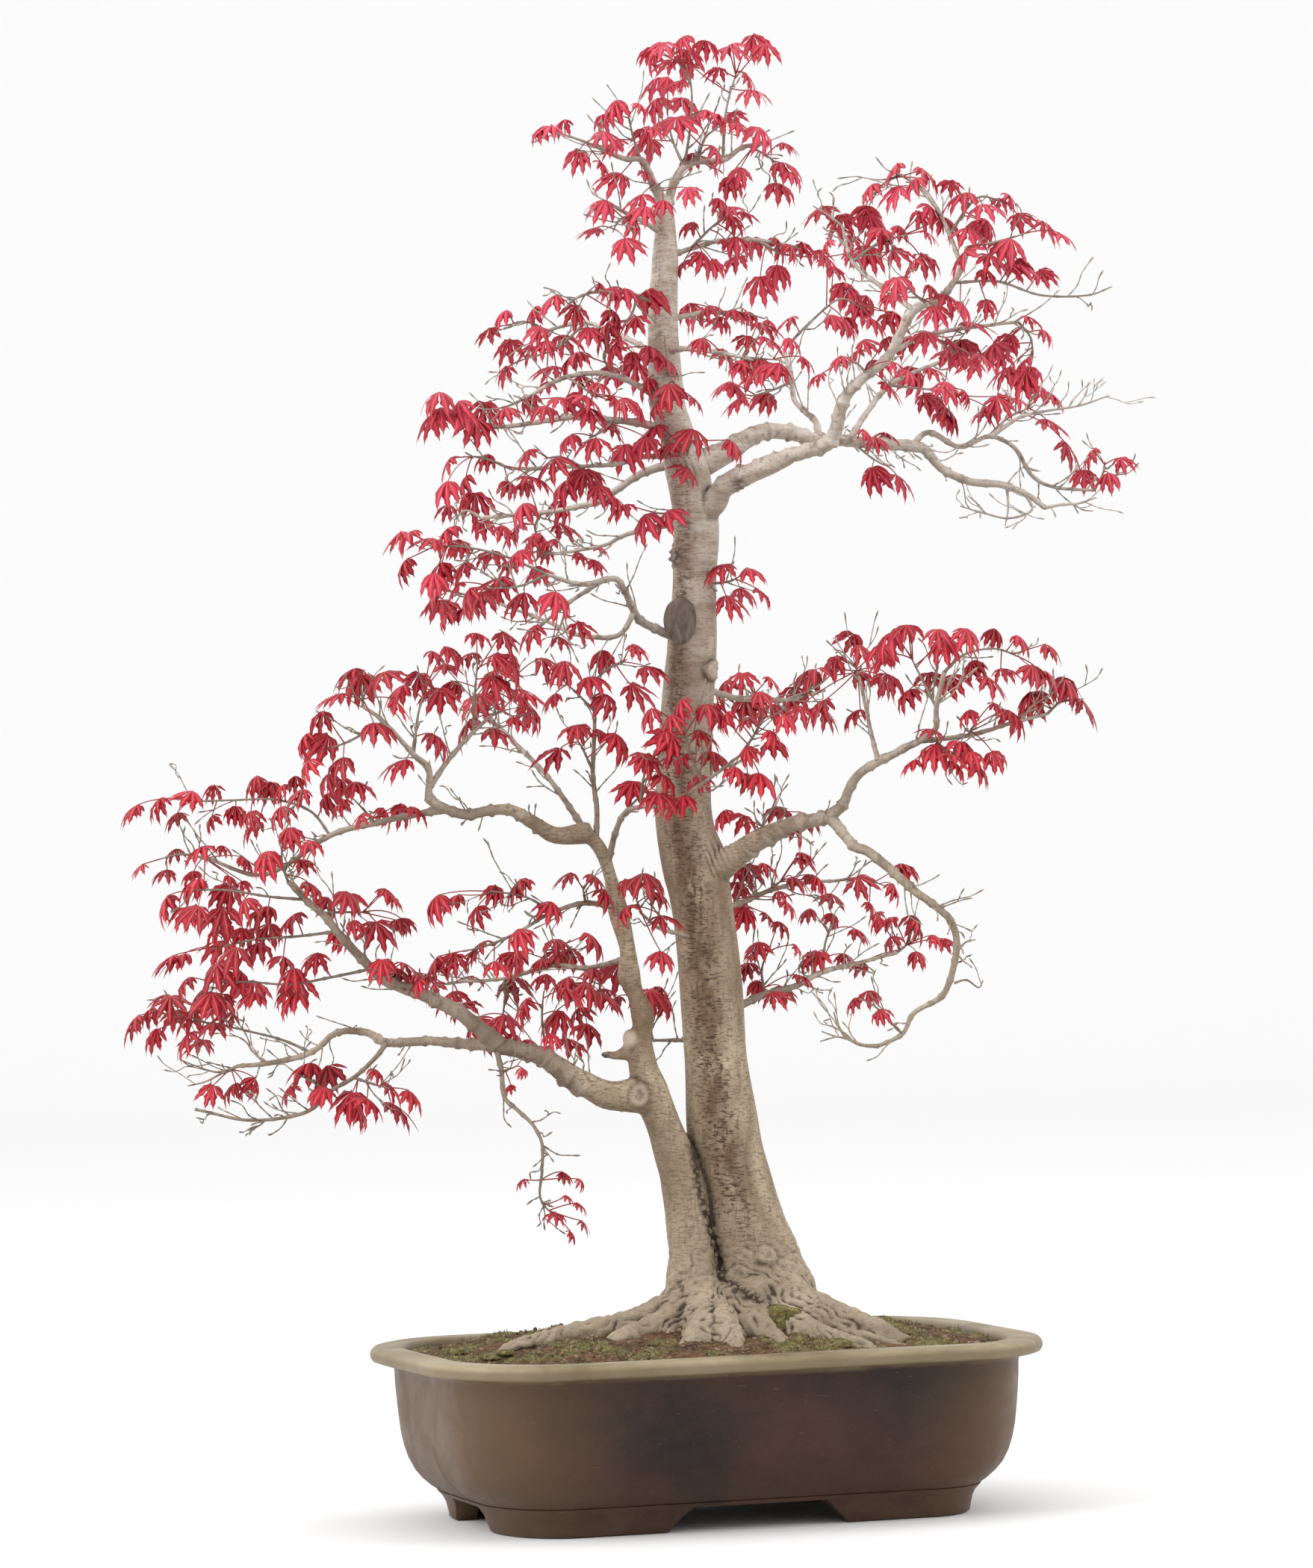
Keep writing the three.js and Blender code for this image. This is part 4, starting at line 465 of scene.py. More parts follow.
second_trunk_rows = [
    (-6, 84, -14, 26), (-8, 120, -14, 30), (-7, 136, -14, 24), (-6, 150, -13, 18.5),
    (-7, 173, -12, 15.5), (-11, 211, -12, 15), (-16, 231, -13, 13.5), (-26, 259, -15, 11.5),
    (-34, 278, -16, 12), (-40, 298, -17, 9.5), (-40, 316, -17, 6.5), (-40, 330, -17, 8),
    (-45, 345, -17, 5.6), (-49, 357, -17, 7.5), (-50, 374, -17, 5.5), (-56, 399, -18, 7),
    (-62, 425, -19, 4.4), (-68, 441, -20, 4.6), (-78, 453, -20, 4.6),
]
root_rows = [
    [(-14, 134, -20, 14), (-34, 125, -32, 11), (-66, 118, -46, 8), (-98, 113, -56, 5),
     (-124, 106, -62, 3)],
    [(-10, 134, -26, 14), (-24, 122, -46, 10), (-44, 115, -64, 7), (-62, 108, -78, 4)],
    [(6, 138, -26, 20), (4, 125, -46, 17), (2, 116, -62, 13), (-4, 109, -78, 9),
     (-12, 101, -92, 5)],
    [(8, 128, -44, 14), (14, 117, -66, 11), (20, 109, -82, 7), (24, 101, -94, 4)],
    [(30, 142, -24, 17), (35, 126, -46, 10.5), (44, 114, -64, 7), (54, 107, -80, 4.5)],
    [(50, 144, -12, 19), (71, 131, -28, 15), (93, 123, -42, 11.5), (114, 116, -54, 8),
     (138, 107, -60, 4)],
    [(46, 134, -26, 14), (62, 122, -46, 10), (78, 115, -64, 7), (96, 108, -76, 5),
     (112, 103, -84, 3)],
    [(50, 138, 8, 16), (78, 124, 20, 10), (110, 117, 32, 7), (142, 108, 42, 4)],
    [(36, 142, 22, 18), (46, 128, 50, 12), (52, 118, 78, 8), (56, 106, 98, 5)],
    [(4, 140, 18, 16), (-18, 127, 44, 11), (-38, 117, 70, 7), (-50, 106, 88, 4)],
    [(-22, 132, -4, 12), (-52, 121, 6, 9), (-84, 115, 20, 6.5), (-104, 106, 30, 4)],
]
surface_rootlets = [
    [(92, 120, -54, 4), (108, 114, -64, 3.4), (122, 111, -70, 2.6), (138, 105, -76, 1.8)],
    [(80, 118, -64, 4), (96, 112, -76, 3.2), (108, 110, -82, 2.4), (122, 104, -88, 1.8)],
    [(100, 122, -44, 4), (122, 117, -50, 3.2), (140, 113, -54, 2.6), (158, 106, -60, 1.8)],
    [(-84, 117, -52, 4), (-104, 112, -62, 3), (-120, 109, -70, 2.4), (-134, 104, -76, 1.8)],
]
knot_stubs = [
    [(0, 561, -7, 6), (5.5, 561, -11, 5.6), (8, 561, -13, 4.6)],
    [(-10, 636, -6, 6.5), (-15, 637, -8.5, 6), (-18, 638, -10, 4.8)],
    [(-42, 306, -16, 6.5), (-50, 305, -17, 5.6), (-57, 303, -18, 3), (-67, 304, -19, 1.4)],
    [(-42, 313, -16, 7), (-47, 314, -18, 7), (-51, 314, -19.5, 5.6)],
]
# Boughs: thick end radius, thin end radius and route.
boughs = {
    "e_lower": (7.4, 2, [(-4, 664, 0), (8, 673, -8), (16, 685, -18), (42, 696, -38), (59, 702, -52),
        (80, 708, -68), (88, 716, -74), (93, 734, -82), (99, 746, -86), (111, 758, -92),
        (126, 772, -98), (142, 801, -106), (159, 808, -112), (173, 827, -118), (178, 843, -122)]),
    "e_upper": (7.2, 1.8, [(-9, 696, 2), (16, 708, 14), (30, 717, 24), (43, 722, 34), (62, 722, 46),
        (78, 718, 56), (99, 717, 68), (140, 713, 92), (150, 710, 98), (161, 698, 104),
        (181, 689, 112), (202, 687, 118), (219, 680, 124), (229, 672, 128)]),
    "a_out": (5, 3.2, [(-76, 452, -20), (-98, 450, -34), (-114, 459, -48), (-131, 467, -60),
        (-157, 463, -76), (-173, 468, -86), (-183, 473, -92)]),
    "h_low": (8.8, 6.2, [(-34, 277, -16), (-60, 276, -26), (-75, 282, -34), (-90, 291, -44),
        (-104, 303, -52), (-117, 307, -58), (-138, 309, -62)]),
    "h_mid": (4.2, 1.5, [(-136, 309, -62), (-162, 311, -46), (-186, 313, -30), (-211, 312, -14),
        (-225, 319, -2), (-245, 319, 12), (-262, 306, 24), (-292, 299, 42), (-311, 297, 54)]),
    "f_right": (7.2, 5, [(4, 424, 0), (26, 439, -22), (40, 449, -36), (60, 457, -52),
        (77, 461, -64), (87, 463, -71)]),
    "f_down": (4, 1.4, [(85, 462, -70), (101, 443, -80), (113, 437, -86), (140, 414, -98),
        (156, 402, -104), (167, 390, -108), (170, 371, -110), (162, 343, -108), (142, 330, -104),
        (134, 316, -102), (118, 308, -98)]),
    "f_up": (4.2, 1.6, [(85, 462, -70), (94, 470, -74), (99, 481, -77), (107, 492, -82),
        (132, 506, -94), (144, 512, -100), (156, 520, -106), (157, 534, -110), (162, 558, -117)]),
}
# Bare shoots, with no leaves yet.
bare_shoots = [
    (1.3, 0.5, [(118, 308, -98), (106, 309, -96), (97, 314, -94), (91, 322, -92), (88, 331, -90)]),
    (0.9, 0.4, [(110, 308, -97), (101, 311, -102), (91, 314, -106), (79, 311, -108)]),
    (0.7, 0.4, [(101, 311, -102), (95, 317, -104), (84, 322, -104)]),
    (0.7, 0.4, [(97, 313, -94), (88, 315, -90), (80, 318, -86)]),
    (0.9, 0.4, [(170, 370, -110), (176, 377, -112), (183, 379, -114)]),
    (0.8, 0.4, [(169, 350, -108), (177, 352, -106), (185, 347, -104), (188, 352, -104)]),
    (1.6, 0.5, [(193, 719, 96), (204, 727, 98), (214, 733, 100), (232, 737, 98), (252, 740, 96),
     (273, 747, 94)]),
    (0.8, 0.4, [(214, 733, 100), (219, 742, 102), (226, 750, 104), (228, 756, 104)]),
    (0.7, 0.4, [(222, 735, 99), (231, 744, 96), (236, 752, 94)]),
    (0.8, 0.4, [(198, 723, 97), (204, 733, 94), (207, 742, 92), (201, 752, 90)]),
    (0.7, 0.4, [(252, 740, 96), (257, 748, 98), (259, 756, 99)]),
    (1.1, 0.5, [(214, 684, 122), (221, 671, 124), (206, 665, 122), (190, 668, 118),
     (173, 673, 114)]),
    (0.7, 0.4, [(190, 668, 118), (184, 675, 116), (178, 680, 115)]),
    (1.2, 0.5, [(229, 672, 128), (240, 674, 130), (252, 675, 131), (264, 679, 132)]),
    (0.7, 0.4, [(248, 675, 131), (255, 671, 134), (262, 670, 136)]),
    (1.0, 0.4, [(204, 686, 118), (205, 672, 120), (203, 660, 121)]),
    (0.9, 0.4, [(-311, 297, 54), (-324, 293, 58), (-338, 297, 62), (-350, 302, 65)]),
    (0.8, 0.4, [(-318, 294, 56), (-332, 287, 60), (-344, 284, 64)]),
    (0.8, 0.4, [(-292, 299, 42), (-300, 306, 44), (-306, 314, 46), (-316, 319, 48)]),
]


# The middle of the picture, as a place in the tables and as one in the part, in millimetres.
table_middle_x, table_middle_up = -30.5, 485
part_middle_x, part_middle_up = -22, 488


def place(x, up, away):
    """Where a place in the tables is in the part: nearer ones spread less, as a camera sees them."""
    spread = 1 + away / (view_distance * 1000)
    right, rise = x - table_middle_x, up - table_middle_up
    seen = Vector((part_middle_x + (right + picture_lean * rise) * spread, away,
                   part_middle_up + (rise - picture_lean * right) * spread))
    seen.rotate(Euler((0, 0, -front_turn)))
    return on_pot(seen)


def smooth_route(points, radii, step):
    """A smooth line through the points, at even steps, with the radius along it."""
    pts = np.array(points, float)
    rad = np.array(radii, float)
    padded = np.vstack([2 * pts[0] - pts[1], pts, 2 * pts[-1] - pts[-2]])
    line, girth = [], []
    for k in range(len(pts) - 1):
        p0, p1, p2, p3 = padded[k:k + 4]
        count = max(2, int(math.ceil(np.linalg.norm(p2 - p1) / step)))
        for j in range(count):
            t = j / count
            line.append(0.5 * (2 * p1 + (p2 - p0) * t + (2 * p0 - 5 * p1 + 4 * p2 - p3) * t * t
                               + (3 * p1 - p0 - 3 * p2 + p3) * t ** 3))
            ease = t * t * (3 - 2 * t)
            girth.append(rad[k] + (rad[k + 1] - rad[k]) * ease)
    line.append(pts[-1])
    girth.append(rad[-1])
    return np.array(line), np.array(girth)


def limb_rings(line, girth, sides, shape=None):
    """Rings round a line, carried along without twist. shape(k, angles) may swell each ring."""
    along = np.gradient(line, axis=0)
    along /= np.linalg.norm(along, axis=1)[:, None]
    normal = np.array((0.1, 1.0, 0.25))       # any direction that no limb follows
    angles = 2 * np.pi * np.arange(sides) / sides
    rings = []
    for k, centre in enumerate(line):
        normal = normal - along[k] * normal.dot(along[k])
        normal /= np.linalg.norm(normal)
        across = np.cross(along[k], normal)
        reach = girth[k] * (shape(k, angles) if shape else np.ones(sides))
        outward = np.cos(angles)[:, None] * normal + np.sin(angles)[:, None] * across
        rings.append([tuple(p) for p in centre + reach[:, None] * outward])
    return rings


def stout_limb(rows, sides, flute):
    """A trunk, root or bough with shallow flutes that turn slowly round it."""
    spots, radii = [place(*row[:3]) for row in rows], [row[3] * MM for row in rows]
    line, girth = smooth_route(spots, radii, 0.004)

    def swell(k, angles):
        drift = 0.55 * k / 6
        return (1 + flute * np.sin(3 * angles + drift) + 0.6 * flute * np.sin(5 * angles - 1.4 * drift)
                + 0.25 * flute * np.sin(11 * angles + 2 * drift))
    return ring_skin(limb_rings(line, girth, sides, swell))


core = [stout_limb(trunk_rows, 44, 0.035), stout_limb(second_trunk_rows, 32, 0.04)]
root_draw = np.random.default_rng(311)
root_swell, rootlet_share, missing_rootlets = 1.12, 0.62, 0.25
rootlets = []
for rows in root_rows:
    spread_rows = [(x, up - 1.5 + 1.1 * k, away, r * root_swell)
                   for k, (x, up, away, r) in enumerate(rows)]
    (x0, _, away0, _), (x1, up1, away1, r1) = spread_rows[-2:]
    sunk_end = (x1 + 0.7 * (x1 - x0), up1 - 10, away1 + 0.7 * (away1 - away0), r1 * 0.5)
    core.append(stout_limb(spread_rows + [sunk_end], 20, 0.09))
    for k in range(1, len(rows) - 1):
        x, up, away, r = rows[k]
        heading = np.subtract(rows[k + 1][:3], rows[k - 1][:3]).astype(float)
        heading /= np.linalg.norm(heading)
        for side in (-1, 1):
            if root_draw.random() < missing_rootlets:
                continue
            side_way = np.array((-heading[2], 0, heading[0])) * side
            run = heading * root_draw.uniform(0.5, 0.9) + side_way * root_draw.uniform(0.35, 0.8)
            reach = root_draw.uniform(18, 34)
            bend = side_way * root_draw.uniform(-4, 5)
            foot, girth = np.array((x, up - r * 0.25, away)), r * rootlet_share
            rootlet = [(*foot, girth)]
            for share, sink in ((0.4, 1.5), (0.75, 5), (1.0, 12)):
                spot = foot + run * reach * share + bend * share
                rootlet.append((spot[0], spot[1] - sink, spot[2], girth * (1 - 0.62 * share)))
            rootlets.append(rootlet)
core += [stout_limb(rows, 12, 0.08) for rows in rootlets]
core += [stout_limb(rows, 12, 0.06) for rows in surface_rootlets + knot_stubs]
bough_slim, stout_bough, fine_step = 0.88, 5, 0.0016


def bough_line(thick, thin, route):
    """A branch's smooth line and its radius, tapered evenly."""
    count = len(route) - 1
    radii = [(thick + (thin - thick) * k / count) * MM for k in range(count + 1)]
    return smooth_route([place(*spot) for spot in route], radii, fine_step)


def reach_along(line):
    """How far along the line each of its points lies."""
    return np.concatenate([[0], np.cumsum(np.linalg.norm(np.diff(line, axis=0), axis=1))])


def limb_skin(thick, thin, route, sides, seed, flare=1.35):
    """A branch: a flared collar where it leaves its parent, and low knuckles at the old leaf joints."""
    line, girth = bough_line(thick, thin, route)
    draw = np.random.default_rng(seed)
    reach = reach_along(line)
    swell = 1 + (flare - 1) * np.exp(-reach / (2.2 * thick * MM))
    knuckle = draw.uniform(0.008, 0.014)
    while knuckle < reach[-1]:
        swell += draw.uniform(0.16, 0.42) * np.exp(-((reach - knuckle) / 0.0013) ** 2)
        knuckle += draw.uniform(0.009, 0.02)
    wobble = np.cumsum(draw.normal(0, 0.06, (len(line), 3)), axis=0)
    wobble -= np.linspace(0, 1, len(line))[:, None] * wobble[-1]
    line = line + wobble * girth[:, None] * 0.55
    turn = draw.uniform(0, 6)

    def shape(k, angles):
        oval = 0.05 * np.sin(2 * angles + turn + k * 0.11)
        return swell[k] * (1 + oval + 0.03 * np.sin(5 * angles - k * 0.17))
    return ring_skin(limb_rings(line, girth, sides, shape))


def bare_twig(line, girth, draw, low=0.1):
    """A fine bare shoot off a stem, with knuckles and buds, often forked. It climbs a little."""
    k = int(draw.uniform(low, 0.98) * (len(line) - 2)) + 1
    way = line[k] - line[k - 1]
    way /= np.linalg.norm(way)
    off = np.cross(way, draw.normal(0, 1, 3))
    off /= np.linalg.norm(off)
    way = 0.7 * way + 0.75 * off + np.array((0, 0, 0.12))
    reach = draw.uniform(10, 34) * MM
    foot, start, skins = line[k], min(girth[k] * 0.6, 0.55 * MM), []
    for _ in range(1 + (draw.random() < 0.45)):
        spots = [foot]
        for share in (0.35, 0.7, 1.0):
            spots.append(foot + way * reach * share + draw.normal(0, 1.6, 3) * MM * share
                         + np.array((0, 0, 0.12 * reach * share * share)))
        path, width = smooth_route(spots, np.linspace(start, 0.27 * MM, 4), 0.0022)
        swell = 1 + 0.5 * (np.arange(len(path)) % 4 == 2)
        swell[-3:] = (1.9, 2.3, 0.6)
        skins.append(ring_skin(limb_rings(path, width, 5, lambda k, angles: np.full(5, swell[k]))))
        fork = len(path) // 2
        foot, start = path[fork], width[fork]
        way, reach = way + 0.8 * off[[1, 2, 0]], reach * 0.5
    return join_skins(skins)


# A stout bough starts in the core, so that it swells out of its trunk.
for thick, thin, route in boughs.values():
    if thick >= stout_bough:
        start = zip(route, np.linspace(thick, thin, len(route)), (1.5, 1.2, 1.06, 0.96, 0.7))
        core.append(stout_limb([(*spot, girth * swell) for spot, girth, swell in start], 16, 0.04))

wood_voxel, hollow_rounds, kept_share = 0.0013, 9, 0.36
wood_core = mesh_piece("wood_core", *join_skins(core))
fuse = wood_core.modifiers.new("fuse", "REMESH")
fuse.mode, fuse.voxel_size = "VOXEL", wood_voxel
settle = wood_core.modifiers.new("settle", "SMOOTH")
settle.factor, settle.iterations = 0.5, 7
apply_modifiers(wood_core)

# Where the bark is marked: the wrinkled seam between the trunks, as right and up, and the healed
# cuts and burrs, as right, up, front (-1) or back (1), radius, rise and kind.
seam_line = [(-7, 244), (-2, 214), (6, 186), (11, 168), (13, 154), (24, 147), (39, 138)]
marks = [
    (8.5, 561, -1, 5.5, 1.8, "callus"), (-18, 637, -1, 7, 1.4, "burr"),
    (11, 438, -1, 12, 1.8, "collar"), (-50, 314, -1, 6.8, 0.8, "pale"),
    (-65, 303.5, -1, 4, 0.6, "burr"), (25, 686, -1, 6, 1.4, "burr"),
    (-8, 694, -1, 9, 2.2, "collar"), (-60, 352, -1, 5, 2.0, "burr"),
    (-30, 742, -1, 6, 1.8, "burr"), (43, 170, -1, 6, 1.0, "callus"),
    (-42, 276, -1, 6.5, 2.2, "callus"), (8, 300, 1, 10, 2.0, "callus"),
    (0, 500, 1, 9, 2.0, "callus"), (-14, 640, 1, 7, 2.0, "burr"), (36, 176, 1, 12, 2.4, "burr"),
]

shape_now = wood_core.data
count = len(shape_now.vertices)
where_now, normals_now = np.empty(count * 3), np.empty(count * 3)
shape_now.vertices.foreach_get("co", where_now)
shape_now.vertices.foreach_get("normal", normals_now)
where_now, normals_now = where_now.reshape(-1, 3), normals_now.reshape(-1, 3)


def seen_from_front(points):
    """The reverse of place(): right, up and away of points, in millimetres."""
    x, y, up = ((points - np.array(pot_middle)) / MM).T
    c, s = math.cos(front_turn), math.sin(front_turn)
    away = x * s + y * c
    spread = 1 + away / (view_distance * 1000)
    a, b = (x * c - y * s - part_middle_x) / spread, (up - part_middle_up) / spread
    right = (a - picture_lean * b) / (1 + picture_lean ** 2)
    rise = (b + picture_lean * a) / (1 + picture_lean ** 2)
    return np.stack([right + table_middle_x, rise + table_middle_up, away], axis=1)


right_now, up_now, away_now = seen_from_front(where_now).T
# The band of dark corky bark up the front of the main trunk, and a weaker one behind it.
trunk_x, trunk_up, _, trunk_radius = np.array(trunk_rows).T
axis_x = np.interp(up_now, trunk_up, trunk_x)
azimuth = np.degrees(np.arctan2(right_now - axis_x, -away_now))
on_trunk = np.abs(right_now - axis_x) - np.interp(up_now, trunk_up, trunk_radius) * 1.2 < 0
band_middle = np.interp(up_now, [150, 450, 580, 720], [-10, -12, -38, -30])
band = np.clip(1.3 - np.abs(azimuth - band_middle) / 32, 0, 1) * on_trunk
band *= np.interp(up_now, [150, 215, 600, 720], [0, 1, 1, 0.3])
band = np.maximum(band, 0.7 * np.clip(1.2 - np.abs(azimuth - 120) / 24, 0, 1) * on_trunk)

# How strong the seam's crease is at each point, which also sets its painted shade, and the folds at the
# foot of the trunks.
far_off = 1e3
seam = np.full(count, far_off)
for (x0, z0), (x1, z1) in zip(seam_line[:-1], seam_line[1:]):
    step_x, step_z = x1 - x0, z1 - z0
    run = (right_now - x0) * step_x + (up_now - z0) * step_z
    t = np.clip(run / (step_x ** 2 + step_z ** 2), 0, 1)
    gap = np.hypot(right_now - x0 - t * step_x, up_now - z0 - t * step_z)
    seam = np.minimum(seam, np.where(away_now < 6, gap, far_off))
crease = np.exp(-(seam / np.interp(up_now, [140, 190, 245], [3.4, 3.4, 2.2])) ** 2)
near_base = np.interp(up_now, [112, 128, 150, 205], [1, 1, 0.75, 0])
# How far the bark stands out at each point, in millimetres: waves all over, folds near the
# roots, beads in the seam, and then the healed cuts and burrs.
lift = np.zeros(count)
callus = np.zeros(count)
for i in range(count):
    p = where_now[i]
    lift[i] = 0.55 * noise.noise(Vector((p[0] * 42, p[1] * 42, p[2] * 20)))
    if near_base[i] > 0:
        warp = 2.4 * noise.noise(Vector(p * 38)) + 1.3 * noise.noise(Vector(p * 90))
        drape = abs(right_now[i] - 22) * 0.55
        rough = 1.1 * abs(math.sin((up_now[i] + drape) * 0.42 + 2.6 * warp))
        rough += 1.3 * noise.noise(Vector(p * 75))
        rough += 0.9 * noise.noise(Vector(p * 210))
        lift[i] += near_base[i] * rough
    if crease[i] > 0.02:
        bead = 1 - 1.7 * noise.voronoi(Vector((p[0] * 210, p[1] * 210, p[2] * 170)))[0][0]
        lift[i] += crease[i] * (2.6 * bead - 0.2)
for x, up, side, reach, rise, kind in marks:
    gap = np.hypot(right_now - x, up_now - up)
    close = np.where(away_now * side > -4, gap / reach, 9)
    if kind == "callus":
        turn = np.arctan2(up_now - up, right_now - x)
        close *= 1 + 0.12 * np.sin(2 * turn + x) + 0.04 * np.sin(3 * turn)
        lift += rise * np.exp(-((close - 0.75) / 0.32) ** 2) + 0.3 * rise * np.exp(-(close / 0.3) ** 2)
        # Pale healed bark, partly a painted highlight on the raised ring.
        callus = np.maximum(callus, 0.8 * np.exp(-(close / 0.95) ** 4))
        # Painted shade: dark rings just outside and just inside the callus's raised ring.
        crease = np.maximum(crease, 0.5 * np.exp(-((close - 1.2) / 0.14) ** 2))
        crease = np.maximum(crease, 0.45 * np.exp(-((close - 0.42) / 0.12) ** 2))
    elif kind == "pale":
        lift += rise * np.exp(-(close / 0.8) ** 2)
        callus = np.maximum(callus, 1.7 * np.exp(-(close / 0.9) ** 4))
    elif kind == "burr":
        lumps = np.sin(right_now * 1.1 + 1) * np.cos(up_now * 1.3) + 1.4
        lift += rise * 0.7 * lumps * np.exp(-close ** 2)
        callus = np.maximum(callus, 0.5 * np.exp(-close ** 2))
        # Painted shade over the burr, darkest in the gaps between its lumps.
        crease = np.maximum(crease, 0.8 * np.exp(-(close * 1.2) ** 4))
    else:
        ripple = 1 + np.sin((right_now + 0.4 * up_now) * 1.7)
        lift += rise * 0.55 * np.exp(-close ** 2) * ripple
        callus = np.maximum(callus, 0.6 * np.exp(-close ** 2))
where_now += normals_now * (lift * MM)[:, None]
shape_now.vertices.foreach_set("co", where_now.ravel())
shape_now.update()


def mark(mesh, name, values):
    """Keeps a value for each point, which a material can read."""
    layer = mesh.attributes.new(name, "FLOAT", "POINT")
    layer.data.foreach_set("value", np.asarray(values, dtype=np.float32))


# Hollows between the roots and folds: how far each point lies under its neighbours' level, which sets
# painted shade in them.
edge_ends = np.empty(len(shape_now.edges) * 2, dtype=np.int64)
shape_now.edges.foreach_get("vertices", edge_ends)
edge_ends = edge_ends.reshape(-1, 2)
degree = np.bincount(edge_ends.ravel(), minlength=count)[:, None]
level = where_now.copy()
for _ in range(hollow_rounds):
    total = np.zeros((count, 3))
    np.add.at(total, edge_ends[:, 0], level[edge_ends[:, 1]])
    np.add.at(total, edge_ends[:, 1], level[edge_ends[:, 0]])
    level = total / degree
hollow = np.clip(((level - where_now) * normals_now).sum(axis=1) / MM * 1.5, 0, 1)
for name, values in (("band", band), ("hollow", hollow * (1 - 0.7 * callus)), ("crease", crease),
                     ("base", near_base), ("callus", callus), ("age", np.ones(count))):
    mark(shape_now, name, values)
thin_out = wood_core.modifiers.new("thin_out", "DECIMATE")
thin_out.ratio = kept_share
apply_modifiers(wood_core)

bough_skins = [limb_skin(thick * bough_slim, thin * bough_slim, route, 14, 40 + k,
                         1.15 if thick >= stout_bough else 1.4)
               for k, (thick, thin, route) in enumerate(boughs.values())]
bough_skins += [limb_skin(*shoot, 7, 80 + k) for k, shoot in enumerate(bare_shoots)]
shoot_draw = np.random.default_rng(29)
shoot_spacing = 0.016
for thick, thin, route in list(boughs.values()) + bare_shoots:
    line, girth = bough_line(thick * bough_slim, thin * bough_slim, route)
    for _ in range(int(len(line) * fine_step / shoot_spacing)):
        bough_skins.append(bare_twig(line, girth, shoot_draw, 0.3))
bough_piece = mesh_piece("bough_skins", *join_skins(bough_skins))
mark(bough_piece.data, "age", np.full(len(bough_piece.data.vertices), 0.35))


def join_into(name, *parts):
    """Joins finished pieces into one mesh, keeping their marks and materials."""
    bpy.ops.object.select_all(action="DESELECT")
    for part in parts:
        part.select_set(True)
    bpy.context.view_layer.objects.active = parts[0]
    bpy.ops.object.join()
    parts[0].name = name
    parts[0].data.name = name
    return parts[0]


wood = join_into("maple_wood", wood_core, bough_piece)
wood.data.shade_smooth()

bark, tree, surface = new_material("maple_bark")


def read_mark(tree, name):
    """The values that mark() kept, in a material."""
    settings = {"attribute_type": "GEOMETRY", "attribute_name": name}
    return put(tree, "ShaderNodeAttribute", settings).outputs["Fac"]


# Grey brown bark, smooth and paler on high and young wood, corky and dark up the front of the
# trunk, with short dark ticks across and streaks along. Painted shade darkens the undersides,
# the hollows and the creases; the pale of the calluses is partly a painted highlight.
where = coords(tree)
age = read_mark(tree, "age")
patches = clouds(tree, coords(tree, (1, 1, 0.45)), 26.0, 5, 0.6, 0.8)
streaks = clouds(tree, coords(tree, (1, 1, 0.2)), 480.0, 4, 0.6, 0.5)
ticks = clouds(tree, coords(tree, (0.34, 0.34, 1.4)), 640.0, 3, 0.6, 0.3)
pores = clouds(tree, where, 1200.0, 3, 0.6)
young = blend_tones(tree, span(tree, patches, 0.35, 0.65), tone(132, 118, 101), tone(190, 178, 163))
young = blend_tones(tree, span(tree, age, 0, 0.3, 0.6, 0), young, tone(98, 82, 70))
old = blend_tones(tree, span(tree, patches, 0.36, 0.64), tone(130, 109, 85), tone(197, 178, 151))
skin = blend_tones(tree, age, young, old)
up_the_tree = axis_of(tree, where, 2)
band_share = read_mark(tree, "band")
bands = clouds(tree, coords(tree, (0.5, 0.5, 2.2)), 60.0, 4, 0.6, 0.6)
high_share = span(tree, up_the_tree, 0.42, 0.72, 0, 0.85)
pale_share = times(tree, high_share, span(tree, bands, 0.4, 0.58, 0.35, 1))
pale_share = times(tree, pale_share, span(tree, age, 0.02, 0.25, 0.35, 1))
nodes = span(tree, clouds(tree, where, 110.0, 2, 0.6, 0.3), 0.56, 0.66)
low_share = span(tree, up_the_tree, 0.6, 0.46, 0.2, 0.38)
corky = times(tree, low_share, span(tree, patches, 0.34, 0.56, 0.4, 1))
old_share = sums(tree, "ADD", times(tree, band_share, 0.55), corky)
band_clouds = span(tree, clouds(tree, coords(tree, (1, 1, 0.5)), 70.0, 4, 0.65), 0.36, 0.6)
tick_share = times(tree, age, sums(tree, "ADD", old_share, 0.16))
lumps = put(tree, "ShaderNodeTexVoronoi", {"feature": "DISTANCE_TO_EDGE"}, Vector=where, Scale=210.0)
lump_gaps = span(tree, lumps.outputs["Distance"], 0.06, 0.22, 1, 0.35)
